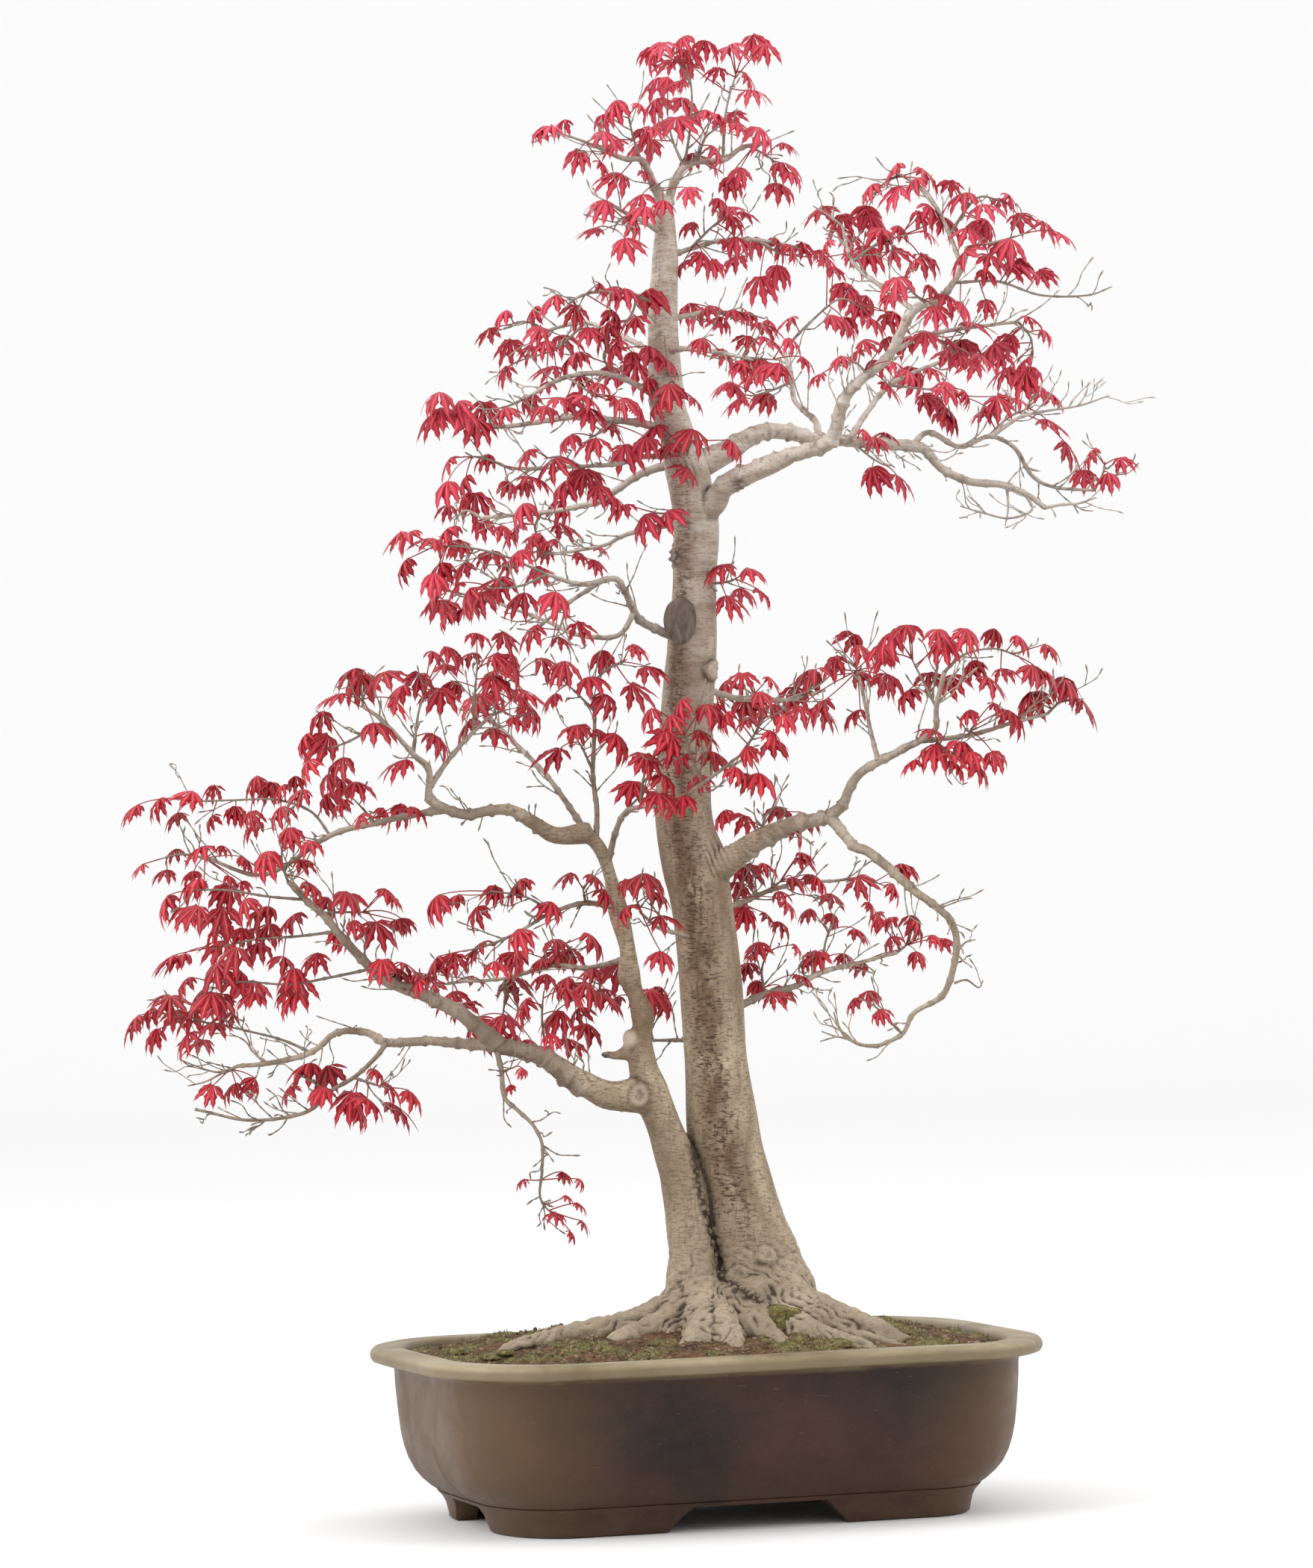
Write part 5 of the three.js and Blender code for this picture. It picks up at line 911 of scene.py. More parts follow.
skin = coated(tree, skin, [
    (pale_share, (222, 214, 204)),
    # Painted shade: bark that faces downward is darker.
    (span(tree, upward(tree), 0.4, -0.7, 0, 0.6), (104, 86, 66)),
    (times(tree, nodes, span(tree, age, 0.6, 0.3, 0, 0.6)), (96, 76, 58)),
    (times(tree, span(tree, streaks, 0.54, 0.64), old_share), (92, 70, 48)),
    (times(tree, times(tree, band_share, band_clouds), 0.85), (92, 64, 40)),
    (times(tree, span(tree, ticks, 0.51, 0.6), tick_share), (66, 44, 28)),
    # Pale healed bark on the marks; on the calluses it is partly a painted highlight on the raised
    # ring.
    (times(tree, read_mark(tree, "callus"), 0.5), (208, 192, 174)),
    (times(tree, read_mark(tree, "base"), span(tree, pores, 0.4, 0.6, 0.35, 0.8)), (166, 152, 132)),
    # Painted shade in the hollows between the roots and folds.
    (times(tree, span(tree, read_mark(tree, "hollow"), 0.08, 0.9), 0.92), (58, 42, 28)),
    # Painted shade in the seam's crease, in rings round the calluses and over the burrs.
    (times(tree, read_mark(tree, "crease"), lump_gaps), (44, 28, 18)),
    (span(tree, pores, 0.62, 0.75, 0, 0.35), (92, 74, 56)),
])
cracked = relief(tree, ticks, 0.0006, 0.5, relief(tree, streaks, 0.0011, 0.6))
fill(tree, surface, Base_Color=skin, Roughness=0.72, Normal=relief(tree, pores, 0.0004, 0.6, cracked))
wood.data.materials.append(bark)
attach(wood, "root")
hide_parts("trunk_and_branches")

# Soil and moss
# Fine brown grit and soil packed round the roots and mounded up to the trunk, half
# grown over with moss. Filled in by hand; loose grains and moss cushions lie on top.
soil_edge, mound_height, mound_middle = 109, 19, (26, -6)
around_steps, lowest_ring_steps = 380, (10, 8, 6)
grain_count, cushion_count, moss_stem_count = 1500, 46, 5200
tuft_rows, tuft_steps = 7, 26


def soil_height(x, y, share):
    """The soil's height at a place whose share of the way from the edge to the mound is given."""
    rise = mound_height * (1 - (1 - share) ** 2)
    lumps = 1.3 * math.sin(x * 0.11 + 1) * math.cos(y * 0.13) + 0.8 * math.sin(x * 0.27 - y * 0.2)
    height = soil_edge + rise + lumps * min(1, share * 6)
    for amount, scale, level in ((1.6, 0.07, 3.1), (1.0, 0.31, 8.0), (0.5, 0.9, 1.0)):
        height += amount * noise.noise(Vector((x * scale, y * scale, level)))
    return height + 1.8 * moss_cover(x, y)


def moss_cover(x, y):
    """How mossy the soil is at a place, from 0 to 1."""
    patch = noise.noise(Vector((x * 0.035 + 5, y * 0.035, 0.4)))
    patch += 0.5 * noise.noise(Vector((x * 0.12, y * 0.12, 6)))
    return min(1.0, max(0.0, (patch - 0.07) * 4))


def toward_mound(x, y, share):
    """A place moved a share of the way to the middle of the mound."""
    return x + (mound_middle[0] - x) * share, y + (mound_middle[1] - y) * share


def even_ring(ring, steps):
    """The ring with its points at even steps."""
    loop = np.array(ring + ring[:1])
    reach = np.concatenate([[0], np.cumsum(np.hypot(*np.diff(loop, axis=0).T))])
    at = np.linspace(0, reach[-1], steps, endpoint=False)
    return np.stack([np.interp(at, reach, loop[:, 0]), np.interp(at, reach, loop[:, 1])], axis=1)


soil_rings = []
for inset, up in ((39.2, 28.6), (29.8, 44.5), (25.6, 96)):
    wall_ring = even_ring(pot_outline(inset, *lowest_ring_steps), around_steps)
    soil_rings.append([on_pot((x, y, up)) for x, y in wall_ring])
edge = even_ring(pot_outline(23.9, 14, 16, 10), around_steps)
shares = np.concatenate([np.linspace(0, 0.62, 62), np.linspace(0.63, 0.97, 22)])
moss_values = [0.0] * (3 * around_steps)
for share in shares:
    ring = []
    for x, y in edge:
        x, y = toward_mound(x, y, share)
        ring.append(on_pot((x, y, soil_height(x, y, share))))
        moss_values.append(moss_cover(x, y))
    soil_rings.append(ring)
soil = mesh_piece("soil_bed", *ring_skin(soil_rings))
mark(soil.data, "moss", moss_values + [0.0, 0.0])

soil_draw = np.random.default_rng(902)
pebble_form = bmesh.new()
bmesh.ops.create_icosphere(pebble_form, subdivisions=1, radius=1)
pebble_points = np.array([v.co[:] for v in pebble_form.verts])
pebble_faces = [[v.index for v in face.verts] for face in pebble_form.faces]
pebble_form.free()


def soil_spot():
    """A random place on the soil's surface, away from the trunks."""
    x, y = edge[soil_draw.integers(len(edge))]
    share = 1 - math.sqrt(soil_draw.uniform((1 - 0.7) ** 2, 1))
    return *toward_mound(x, y, share), share


grains, grain_tint = [], []
for _ in range(grain_count):
    x, y, share = soil_spot()
    size = soil_draw.uniform(0.6, 1.9) * (1.5 if soil_draw.random() < 0.08 else 1)
    squash = soil_draw.uniform(0.55, 1.0, 3)
    spin = np.array(Euler(soil_draw.uniform(0, 6, 3)).to_matrix())
    ragged = soil_draw.uniform(0.85, 1.1, (len(pebble_points), 1))
    form = (pebble_points * squash * ragged) @ spin * size
    up = soil_height(x, y, share) + size * 0.25
    grains.append(([on_pot((x + p[0], y + p[1], up + p[2])) for p in form], pebble_faces))
    grain_tint += [soil_draw.uniform(0, 1)] * len(form)
pebbles = mesh_piece("soil_grains", *join_skins(grains), smooth=False)
mark(pebbles.data, "tint", grain_tint)

tufts = []
cushions = [(*soil_spot()[:2], soil_draw.uniform(5, 13)) for _ in range(cushion_count)]
cushions = [(x, y, reach, 0) for x, y, reach in cushions if moss_cover(x, y) > 0.1]
front_tuft = (place(50, 124, -47) - pot_middle) / MM
cushions += [(front_tuft.x + dx, front_tuft.y + dy, reach, 15)
             for dx, dy, reach in ((0, 0, 11), (-9, 3, 8), (9, -5, 8), (4, 7, 9))]
for x, y, reach, lift in cushions:
    gaps = np.hypot(edge[:, 0] - x, edge[:, 1] - y)
    share = min(0.95, gaps.min() / 150)
    ground = soil_height(x, y, share) - 1.5
    rings = []
    for row in range(tuft_rows):
        lean_out = math.pi / 2 * row / (tuft_rows - 0.6)
        ring = []
        for step in range(tuft_steps):
            turn = 2 * math.pi * step / tuft_steps
            c, s = math.cos(turn), math.sin(turn)
            lump = 1 + 0.22 * noise.noise(Vector((x + c * 1.4, y + s * 1.4, row * 0.3)))
            r = reach * math.cos(lean_out) * lump
            px, py = x + r * c, y + r * s
            fuzz = 0.7 * noise.noise(Vector((px * 1.1, py * 1.1, 4)))
            rise = (lift if row else 0) + reach * 0.42 * math.sin(lean_out) + fuzz
            ring.append(on_pot((px, py, ground + rise)))
        rings.append(ring)
    tufts.append(ring_skin(rings))
for _ in range(moss_stem_count):
    x, y, share = soil_spot()
    if moss_cover(x, y) < 0.15:
        continue
    up = soil_height(x, y, share)
    tall = soil_draw.uniform(1.0, 2.8) * (2.2 if soil_draw.random() < 0.03 else 1)
    tip = (x + soil_draw.normal(0, 0.7), y + soil_draw.normal(0, 0.7), up + tall)
    base = [(x + 0.42 * math.cos(a), y + 0.42 * math.sin(a), up - 0.4) for a in (0.4, 2.5, 4.6)]
    tufts.append(([on_pot(p) for p in base + [tip]], [(0, 1, 3), (1, 2, 3), (2, 0, 3), (2, 1, 0)]))
moss_piece = mesh_piece("moss_tufts", *join_skins(tufts))
mark(moss_piece.data, "moss", np.ones(len(moss_piece.data.vertices)))

ground, tree, surface = new_material("soil_and_moss")
where = coords(tree)
crumbs = put(tree, "ShaderNodeTexVoronoi", Vector=where, Scale=520.0)
crumb_shade = put(tree, "ShaderNodeSeparateColor", Color=crumbs.outputs["Color"]).outputs[0]
drift = clouds(tree, where, 60.0, 5, 0.65)
earth = blend_tones(tree, span(tree, drift, 0.35, 0.65), tone(58, 38, 26), tone(116, 84, 56))
earth = blend_tones(tree, span(tree, crumb_shade, 0.55, 1.0, 0, 0.55), earth, tone(150, 124, 92))
moss_clouds = span(tree, clouds(tree, where, 130.0, 4, 0.65), 0.35, 0.65)
greens = blend_tones(tree, moss_clouds, tone(60, 64, 26), tone(138, 134, 76))
greens = blend_tones(tree, span(tree, crumb_shade, 0.7, 1.0, 0, 0.5), greens, tone(186, 178, 120))
thin_moss = span(tree, clouds(tree, where, 300.0, 4, 0.7), 0.36, 0.56, 0.15, 1)
earth = blend_tones(tree, times(tree, read_mark(tree, "moss"), thin_moss), earth, greens)
crumb_height = sums(tree, "ADD", crumbs.outputs["Distance"], clouds(tree, where, 900.0, 3, 0.6))
fill(tree, surface, Base_Color=earth, Roughness=0.92, Normal=relief(tree, crumb_height, 0.0012, 0.8))

grit, tree, surface = new_material("loose_grit")
where = coords(tree)
chip = blend_tones(tree, read_mark(tree, "tint"), tone(66, 46, 32), tone(172, 150, 120))
dust = span(tree, clouds(tree, where, 700.0, 3), 0.4, 0.7, 0, 0.6)
chip = blend_tones(tree, dust, chip, tone(120, 92, 64))
chip_height = clouds(tree, where, 2200.0, 3)
fill(tree, surface, Base_Color=chip, Roughness=0.88, Normal=relief(tree, chip_height, 0.0003, 0.6))
for piece, material in ((soil, ground), (pebbles, grit), (moss_piece, ground)):
    piece.data.materials.append(material)
    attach(piece, "root")
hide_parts("soil")

# Wound putty
# A cap of grafting putty pressed over a large pruning cut on the main trunk, so that the wound
# heals under it. Spread with a thumb; dried to a matt grey brown, with a rounded rim.
putty_facing = math.radians(123.5)
putty_axis = Vector((-math.sin(putty_facing), math.cos(putty_facing), 0))
putty_side = Vector((math.cos(putty_facing), math.sin(putty_facing), 0))
putty_seat = place(-15, 594, -12.5)
putty_steps, putty_tallness = 48, 1.32
putty_profile = [
    (-3.4, 11.8), (-1, 12), (1.4, 11.9), (2.9, 11.3), (3.8, 10.3), (4.2, 9.2), (4, 8), (3.5, 6),
    (3.3, 4), (3.2, 2),
]
putty_rings = []
for out, reach in putty_profile:
    ring = []
    for step in range(putty_steps):
        turn = 2 * math.pi * step / putty_steps
        c, s = math.cos(turn), math.sin(turn)
        ragged = 1 + 0.035 * math.sin(3 * turn + 1)
        ragged += 0.03 * noise.noise(Vector((c * 2, s * 2, out * 0.4)))
        flat = 0.35 * noise.noise(Vector((reach * c * 0.3, reach * s * 0.3, 2)))
        side_way = putty_side * c * reach * ragged
        up_way = Vector((0, 0, 1)) * s * reach * ragged * putty_tallness
        ring.append(putty_seat + (putty_axis * (out + flat) + side_way + up_way) * MM)
    putty_rings.append(ring)
points, faces = ring_skin(putty_rings)
putty = mesh_piece("putty_cap", points, [face[::-1] for face in faces])
dried_putty, tree, surface = new_material("dried_putty")
where = coords(tree)
grain = put(tree, "ShaderNodeGroup", {"node_tree": clay_grain}, Position=where, Speck_Scale=900.0)
smears = clouds(tree, coords(tree, (1, 1, 0.5)), 120.0, 5, 0.6, 1.0)
cap = blend_tones(tree, span(tree, smears, 0.36, 0.66), tone(76, 65, 57), tone(124, 110, 99))
cap = blend_tones(tree, times(tree, grain.outputs["Specks"], 0.4), cap, tone(152, 138, 124))
cap_height = sums(tree, "ADD", smears, grain.outputs["Height"])
fill(tree, surface, Base_Color=cap, Roughness=0.66, Normal=relief(tree, cap_height, 0.0006, 0.6))
putty.data.materials.append(dried_putty)
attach(putty, "root")
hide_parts("wound_putty")

# Leafy branchlets
# Thin branchlets that the boughs and trunks carry, each with its spring flush of crimson leaves:
# seven narrow toothed lobes that hang from a red stalk like a half-closed umbrella. Grown, so
# twig, stalks and leaves are one; the leaves thin, satin on top, with paler veins.
# Each branchlet: its fine branches as thick end, thin end and route, then its sprays as stem
# route and the spots where leaves hang in the front view.
branchlets = {
    "a_cross": ([(2.8, 1.3, [(-64, 431, -19), (-54, 462, -40), (-41, 469, -52), (-24, 470, -64),
        (0, 484, -80), (26, 503, -94)])], [
        ([(-41, 469, -52), (-40, 484, -64), (-36, 498, -72)], [(-38, 504), (-26, 490), (-46, 486),
         (-31, 479), (-22, 502)]),
        ([(0, 484, -80), (-8, 505, -90), (-12, 524, -98)], [(-34, 534), (-14, 540), (3, 537),
         (-20, 516), (-2, 520), (6, 506), (-12, 503), (-12, 476), (-2, 490), (-14, 532)]),
        ([(26, 503, -94), (36, 518, -102), (42, 530, -108)], [(17, 532), (30, 528), (46, 519),
         (54, 529), (30, 508), (22, 495), (38, 491), (38, 545)])]),
    "a_far": ([(3.2, 1.5, [(-170, 467, -84), (-190, 464, -80), (-219, 458, -70), (-249, 450, -50),
        (-279, 430, -30), (-300, 424, -18), (-328, 434, -8)])], [
        ([(-328, 434, -8), (-348, 438, 0), (-366, 434, 8)], [(-375, 431), (-352, 442), (-358, 428),
         (-334, 443), (-322, 444), (-340, 427), (-308, 436), (-317, 424)]),
        ([(-249, 450, -50), (-262, 466, -42), (-285, 474, -28), (-312, 474, -16), (-345, 473, -4)],
         [(-378, 471), (-362, 476), (-341, 480), (-326, 484), (-351, 466), (-328, 464), (-312, 470),
         (-298, 490), (-280, 484), (-267, 481), (-282, 469), (-297, 459), (-251, 478), (-272, 490),
         (-288, 486), (-302, 466)]),
        ([(-219, 458, -70), (-226, 466, -84), (-236, 476, -98)], [(-228, 463), (-213, 468),
         (-202, 471), (-240, 473), (-232, 485), (-250, 490), (-192, 468)])]),
    "a_long": ([(2.8, 1.3, [(-78, 453, -18), (-94, 477, -2), (-106, 493, 12), (-122, 509, 28),
        (-133, 521, 42), (-146, 530, 54)])], [
        ([(-146, 530, 54), (-138, 548, 64), (-122, 560, 74)], [(-127, 573), (-122, 550),
         (-108, 570), (-116, 539), (-150, 546), (-140, 562)])]),
    "a_rise": ([(2.6, 1.3, [(-71, 445, -20), (-70, 466, -24), (-73, 493, -32), (-72, 533, -44),
        (-76, 550, -50)])], [
        ([(-72, 533, -44), (-84, 545, -58), (-94, 554, -70)], [(-92, 566), (-98, 545), (-76, 556),
         (-64, 544)]),
        ([(-76, 550, -50), (-62, 562, -44), (-50, 568, -36)], [(-46, 578), (-38, 563), (-48, 551),
         (-66, 574)]),
        ([(-73, 493, -32), (-80, 508, -48), (-84, 514, -60)], [(-70, 521), (-82, 524), (-95, 508),
         (-58, 518)])]),
    "a_up": ([(3, 1.5, [(-183, 472, -92), (-183, 493, -97), (-193, 503, -102), (-213, 525, -110),
        (-227, 535, -114)]), (2.6, 1.3, [(-182, 482, -93), (-169, 501, -80), (-153, 519, -68),
        (-141, 530, -60)])], [
        ([(-227, 535, -114), (-228, 548, -120)], [(-232, 561), (-213, 558), (-241, 544),
         (-206, 540), (-220, 524), (-228, 556)]),
        ([(-193, 503, -102), (-190, 530, -92), (-184, 552, -82)], [(-181, 573), (-189, 558),
         (-175, 548), (-172, 564), (-180, 517), (-198, 500), (-200, 550)]),
        ([(-213, 525, -110), (-236, 512, -104), (-254, 506, -96)], [(-265, 517), (-250, 516),
         (-240, 501), (-264, 499), (-253, 532)]),
        ([(-153, 519, -68), (-152, 545, -72), (-150, 568, -76)], [(-164, 553), (-141, 556),
         (-151, 585), (-154, 572), (-134, 586), (-140, 570)]),
        ([(-141, 530, -60), (-132, 534, -52)], [(-156, 527), (-140, 522), (-126, 529),
         (-124, 544)])]),
    "apex_left": ([(4.2, 1.6, [(-26, 874, 0), (-34, 890, -8), (-41, 903, -18), (-52, 904, -26),
        (-73, 913, -38)])], [
        ([(-73, 913, -38), (-90, 919, -46), (-102, 922, -52)], [(-107, 925), (-92, 930), (-82, 910),
         (-66, 922), (-68, 902)]),
        ([(-41, 903, -18), (-46, 918, -28), (-50, 936, -36)], [(-57, 917), (-38, 924), (-42, 941),
         (-58, 943), (-40, 896), (-54, 894)]),
        ([(-34, 890, -8), (-30, 884, -30), (-22, 882, -44)], [(-26, 876), (-40, 880),
         (-10, 884)])]),
    "apex_right": ([(4.2, 1.6, [(-25, 866, 0), (-19, 888, 5), (-12, 899, 8), (-3, 903, 12),
        (14, 904, 18), (26, 912, 26), (36, 915, 35)])], [
        ([(-12, 899, 8), (-20, 918, 22), (-24, 940, 36)], [(-27, 930), (-35, 918), (-30, 946),
         (-14, 946), (-23, 960)]),
        ([(-12, 899, 8), (-8, 925, -6), (-7, 950, -16), (-12, 972, -22)], [(-33, 979), (-21, 970),
         (-13, 986), (2, 984), (-14, 957), (3, 937), (-26, 982)]),
        ([(14, 904, 18), (16, 936, 20), (24, 966, 26)], [(34, 988), (20, 982), (42, 982), (12, 966),
         (30, 962), (20, 936), (18, 980)]),
        ([(-3, 903, 12), (2, 918, -8), (12, 926, -22)], [(-17, 932), (-4, 934), (10, 934),
         (24, 928), (9, 912), (-6, 908)]),
        ([(30, 913, 30), (42, 908, 44), (50, 902, 54)], [(54, 916), (52, 903), (50, 889), (26, 899),
         (18, 893), (38, 926)])]),
    "b_left": ([(4.2, 1.7, [(-8, 580, 4), (-37, 592, -6), (-46, 602, -18), (-52, 615, -34),
        (-59, 622, -46), (-81, 618, -66), (-104, 624, -84)]), (2.4, 1.3, [(-45, 601, -17),
        (-57, 584, -22), (-84, 585, -10), (-104, 594, 0), (-138, 607, 12)]), (2, 1.2,
        [(-66, 621, -56), (-90, 605, -50), (-113, 586, -58)])], [
        ([(-104, 624, -84), (-132, 636, -92), (-158, 642, -98), (-184, 643, -102)], [(-195, 652),
         (-180, 648), (-161, 647), (-198, 634), (-158, 632), (-140, 640), (-122, 640),
         (-174, 632)]),
        ([(-104, 624, -84), (-122, 616, -98), (-144, 614, -112)], [(-108, 628), (-119, 612),
         (-134, 622), (-148, 612), (-163, 618), (-98, 612)]),
        ([(-138, 607, 12), (-158, 612, 20), (-172, 616, 28)], [(-175, 622), (-178, 610),
         (-156, 604), (-144, 616)]),
        ([(-90, 605, -50), (-94, 592, -60), (-98, 582, -70)], [(-96, 583), (-112, 590),
         (-84, 592)])]),
    "back": ([(3.4, 1.4, [(-8, 552, 4), (6, 548, 34), (28, 543, 70), (56, 543, 108),
        (82, 550, 140)])], [
        ([(56, 543, 108), (76, 552, 128), (88, 562, 142)], [(90, 572), (74, 564), (80, 538),
         (104, 562), (60, 552), (46, 540)]),
        ([(28, 543, 70), (34, 546, 92), (26, 552, 112)], [(29, 544), (45, 558), (16, 556),
         (10, 540)])]),
    "between": ([(2.2, 1.2, [(-4, 380, -4), (-14, 384, -28), (-29, 388, -42), (-41, 398, -52)])], [
        ([(-41, 398, -52), (-45, 410, -62)], [(-50, 420), (-39, 424), (-32, 412), (-51, 402),
         (-28, 396), (-28, 372)])]),
    "c_left": ([(4.2, 1.6, [(-14, 702, 2), (-36, 695, 12), (-47, 689, 22), (-67, 676, 42),
        (-81, 672, 54), (-108, 668, 76), (-148, 665, 98)])], [
        ([(-148, 665, 98), (-158, 670, 110), (-166, 664, 122)], [(-170, 674), (-166, 660),
         (-148, 664), (-152, 682), (-134, 660)]),
        ([(-108, 668, 76), (-112, 658, 92), (-108, 650, 106)], [(-120, 674), (-95, 676),
         (-124, 660), (-108, 654), (-96, 661), (-118, 690)])]),
    "c_lower": ([(2.4, 1.3, [(-5, 662, 4), (-44, 654, 18), (-56, 650, 26), (-67, 645, 34),
        (-98, 640, 52)])], [
        ([(-98, 640, 52), (-110, 642, 66), (-120, 637, 80)], [(-100, 650), (-126, 636), (-111, 632),
         (-84, 641), (-72, 636), (-114, 650), (-70, 646)])]),
    "c_upper": ([(2.6, 1.3, [(-14, 704, -2), (-40, 704, -20), (-56, 699, -32), (-81, 697, -48),
        (-128, 695, -74)])], [
        ([(-128, 695, -74), (-146, 702, -84), (-160, 703, -92)], [(-169, 702), (-143, 705),
         (-130, 687), (-116, 690), (-158, 690)]),
        ([(-81, 697, -48), (-94, 703, -60), (-106, 702, -70)], [(-116, 708), (-99, 702), (-90, 688),
         (-78, 695), (-70, 684), (-58, 676)])]),
    "crown_back_left": ([(3, 1.4, [(-26, 770, 2), (-50, 784, 20), (-78, 795, 40),
        (-104, 790, 58)])], [
        ([(-104, 790, 58), (-118, 796, 66), (-130, 794, 76)], [(-131, 804), (-112, 806),
         (-108, 792), (-95, 787), (-142, 792)]),
        ([(-78, 795, 40), (-98, 778, 56), (-122, 770, 72)], [(-114, 780), (-130, 766), (-98, 766),
         (-82, 776), (-104, 756), (-128, 784)])]),
    "crown_front": ([(2.8, 1.4, [(-25, 775, 0), (-12, 776, -24), (8, 774, -46), (34, 768, -66)])], [
        ([(8, 774, -46), (30, 770, -58), (52, 768, -72)], [(0, 783), (14, 776), (26, 768),
         (38, 770), (52, 766), (68, 770), (42, 784), (58, 783)])]),
    "crown_left": ([(2.8, 1.4, [(-26, 806, 0), (-44, 812, -18), (-58, 815, -30),
        (-74, 814, -44)])], [
        ([(-74, 814, -44), (-84, 810, -52), (-92, 803, -60)], [(-69, 820), (-85, 805), (-60, 802),
         (-76, 790), (-98, 812)]),
        ([(-44, 812, -18), (-46, 802, -34), (-52, 792, -44)], [(-52, 817), (-38, 815), (-62, 794),
         (-44, 798), (-58, 780)])]),
    "crown_low_left": ([(3, 1.4, [(-23, 740, 0), (-58, 758, -20), (-90, 757, -38),
        (-118, 743, -54)])], [
        ([(-58, 758, -20), (-66, 771, -26), (-60, 782, -22)], [(-84, 774), (-56, 783), (-47, 775),
         (-36, 778), (-60, 765)]),
        ([(-90, 757, -38), (-80, 750, -52), (-70, 742, -62)], [(-82, 758), (-70, 753), (-90, 745),
         (-59, 744), (-44, 737), (-76, 736)]),
        ([(-118, 743, -54), (-128, 738, -64), (-138, 735, -74)], [(-132, 736), (-117, 745),
         (-105, 737), (-96, 743), (-146, 740)])]),
    "crown_right": ([(2.8, 1.4, [(-26, 796, 2), (-8, 800, 18), (8, 802, 36), (30, 798, 60)])], [
        ([(8, 802, 36), (26, 802, 50), (42, 798, 64)], [(-8, 808), (4, 806), (14, 799), (29, 803),
         (44, 797), (30, 786), (-2, 804), (20, 804), (10, 797)])]),
    "d_left": ([(3.8, 1.5, [(-22, 722, 0), (-40, 726, -12), (-60, 728, -24), (-86, 730, -40),
        (-120, 725, -60), (-148, 722, -76)])], [
        ([(-148, 722, -76), (-162, 730, -86), (-174, 735, -94)], [(-180, 732), (-163, 740),
         (-152, 728), (-176, 746)]),
        ([(-60, 728, -24), (-68, 720, -44), (-76, 716, -58)], [(-88, 718), (-71, 716), (-61, 727),
         (-52, 712), (-38, 717)])]),
    "e_back": ([(3, 1.5, [(99, 717, 68), (112, 738, 92), (126, 754, 116), (150, 766, 138),
        (176, 775, 158)])], [
        ([(126, 754, 116), (144, 752, 104), (162, 750, 96)], [(138, 764), (152, 766), (148, 748),
         (164, 756), (176, 750), (162, 740), (190, 740)]),
        ([(99, 717, 68), (112, 706, 80), (122, 700, 92)], [(114, 699), (130, 694), (108, 724),
         (122, 722)])]),
    "e_crest": ([(2.2, 1.3, [(174, 829, -118), (166, 852, -112), (152, 878, -100),
        (134, 892, -88)])], [
        ([(134, 892, -88), (124, 888, -80), (116, 880, -70)], [(131, 900), (132, 884), (114, 886),
         (110, 872), (148, 896)]),
        ([(166, 852, -112), (184, 876, -104), (202, 874, -96)], [(166, 888), (177, 880), (188, 872),
         (205, 879), (211, 866), (190, 862)])]),
    "e_far": ([(2.6, 1.4, [(140, 713, 92), (152, 722, 100), (173, 713, 110), (192, 720, 118),
        (209, 713, 124), (221, 694, 132), (236, 686, 138), (262, 684, 144)])], [
        ([(262, 684, 144), (268, 694, 152), (270, 704, 160)], [(256, 698), (272, 696), (262, 712),
         (280, 706)]),
        ([(192, 720, 118), (206, 733, 124), (222, 740, 130)], [(190, 738), (210, 746), (230, 732),
         (232, 750), (243, 716)])]),
    "e_inner": ([(2.4, 1.3, [(142, 801, -106), (122, 816, -92), (101, 834, -78),
        (94, 858, -64)])], [
        ([(94, 858, -64), (84, 866, -58), (74, 872, -52)], [(81, 872), (93, 866), (112, 866),
         (99, 852), (110, 845), (84, 848)]),
        ([(101, 834, -78), (118, 846, -92), (138, 852, -104)], [(118, 857), (132, 858), (149, 854),
         (161, 864), (128, 842), (146, 838), (152, 872)])]),
    "e_long": ([], [
        ([(168, 819, -116), (198, 820, -114), (227, 811, -106), (258, 811, -98), (275, 817, -94)],
         [(212, 832), (226, 828), (190, 808), (173, 806), (190, 828)])]),
    "e_lower_near": ([], [
        ([(111, 758, -92), (102, 766, -108), (90, 764, -120)], [(93, 770), (80, 758), (104, 774),
         (116, 768), (128, 766), (123, 753), (124, 783), (108, 781)])]),
    "e_near": ([], [
        ([(151, 804, -109), (140, 814, -122), (136, 824, -134)], [(131, 822), (142, 834),
         (152, 818), (127, 812), (156, 803)])]),
    "e_over": ([(2.2, 1.3, [(126, 772, -98), (150, 784, -82), (182, 790, -64), (212, 794, -44)])], [
        ([(150, 784, -82), (168, 778, -70), (184, 770, -60)], [(178, 794), (150, 787), (138, 784),
         (164, 782), (172, 772), (186, 772), (174, 782)]),
        ([(212, 794, -44), (220, 784, -34), (222, 772, -24)], [(217, 798), (228, 789), (206, 786),
         (196, 777), (218, 770), (206, 764), (196, 780)])]),
    "e_rise": ([(3.2, 1.7, [(78, 718, 56), (76, 729, 64), (69, 736, 74), (62, 744, 86),
        (60, 756, 98), (55, 778, 110)])], [
        ([(60, 756, 98), (46, 750, 88), (32, 746, 76)], [(25, 745), (44, 749), (18, 756),
         (36, 762)]),
        ([(55, 778, 110), (72, 796, 118), (92, 812, 124), (108, 806, 134)], [(88, 834), (98, 820),
         (110, 815), (86, 801), (97, 800), (112, 800), (124, 803), (60, 800), (128, 804)])]),
    "e_tip": ([], [
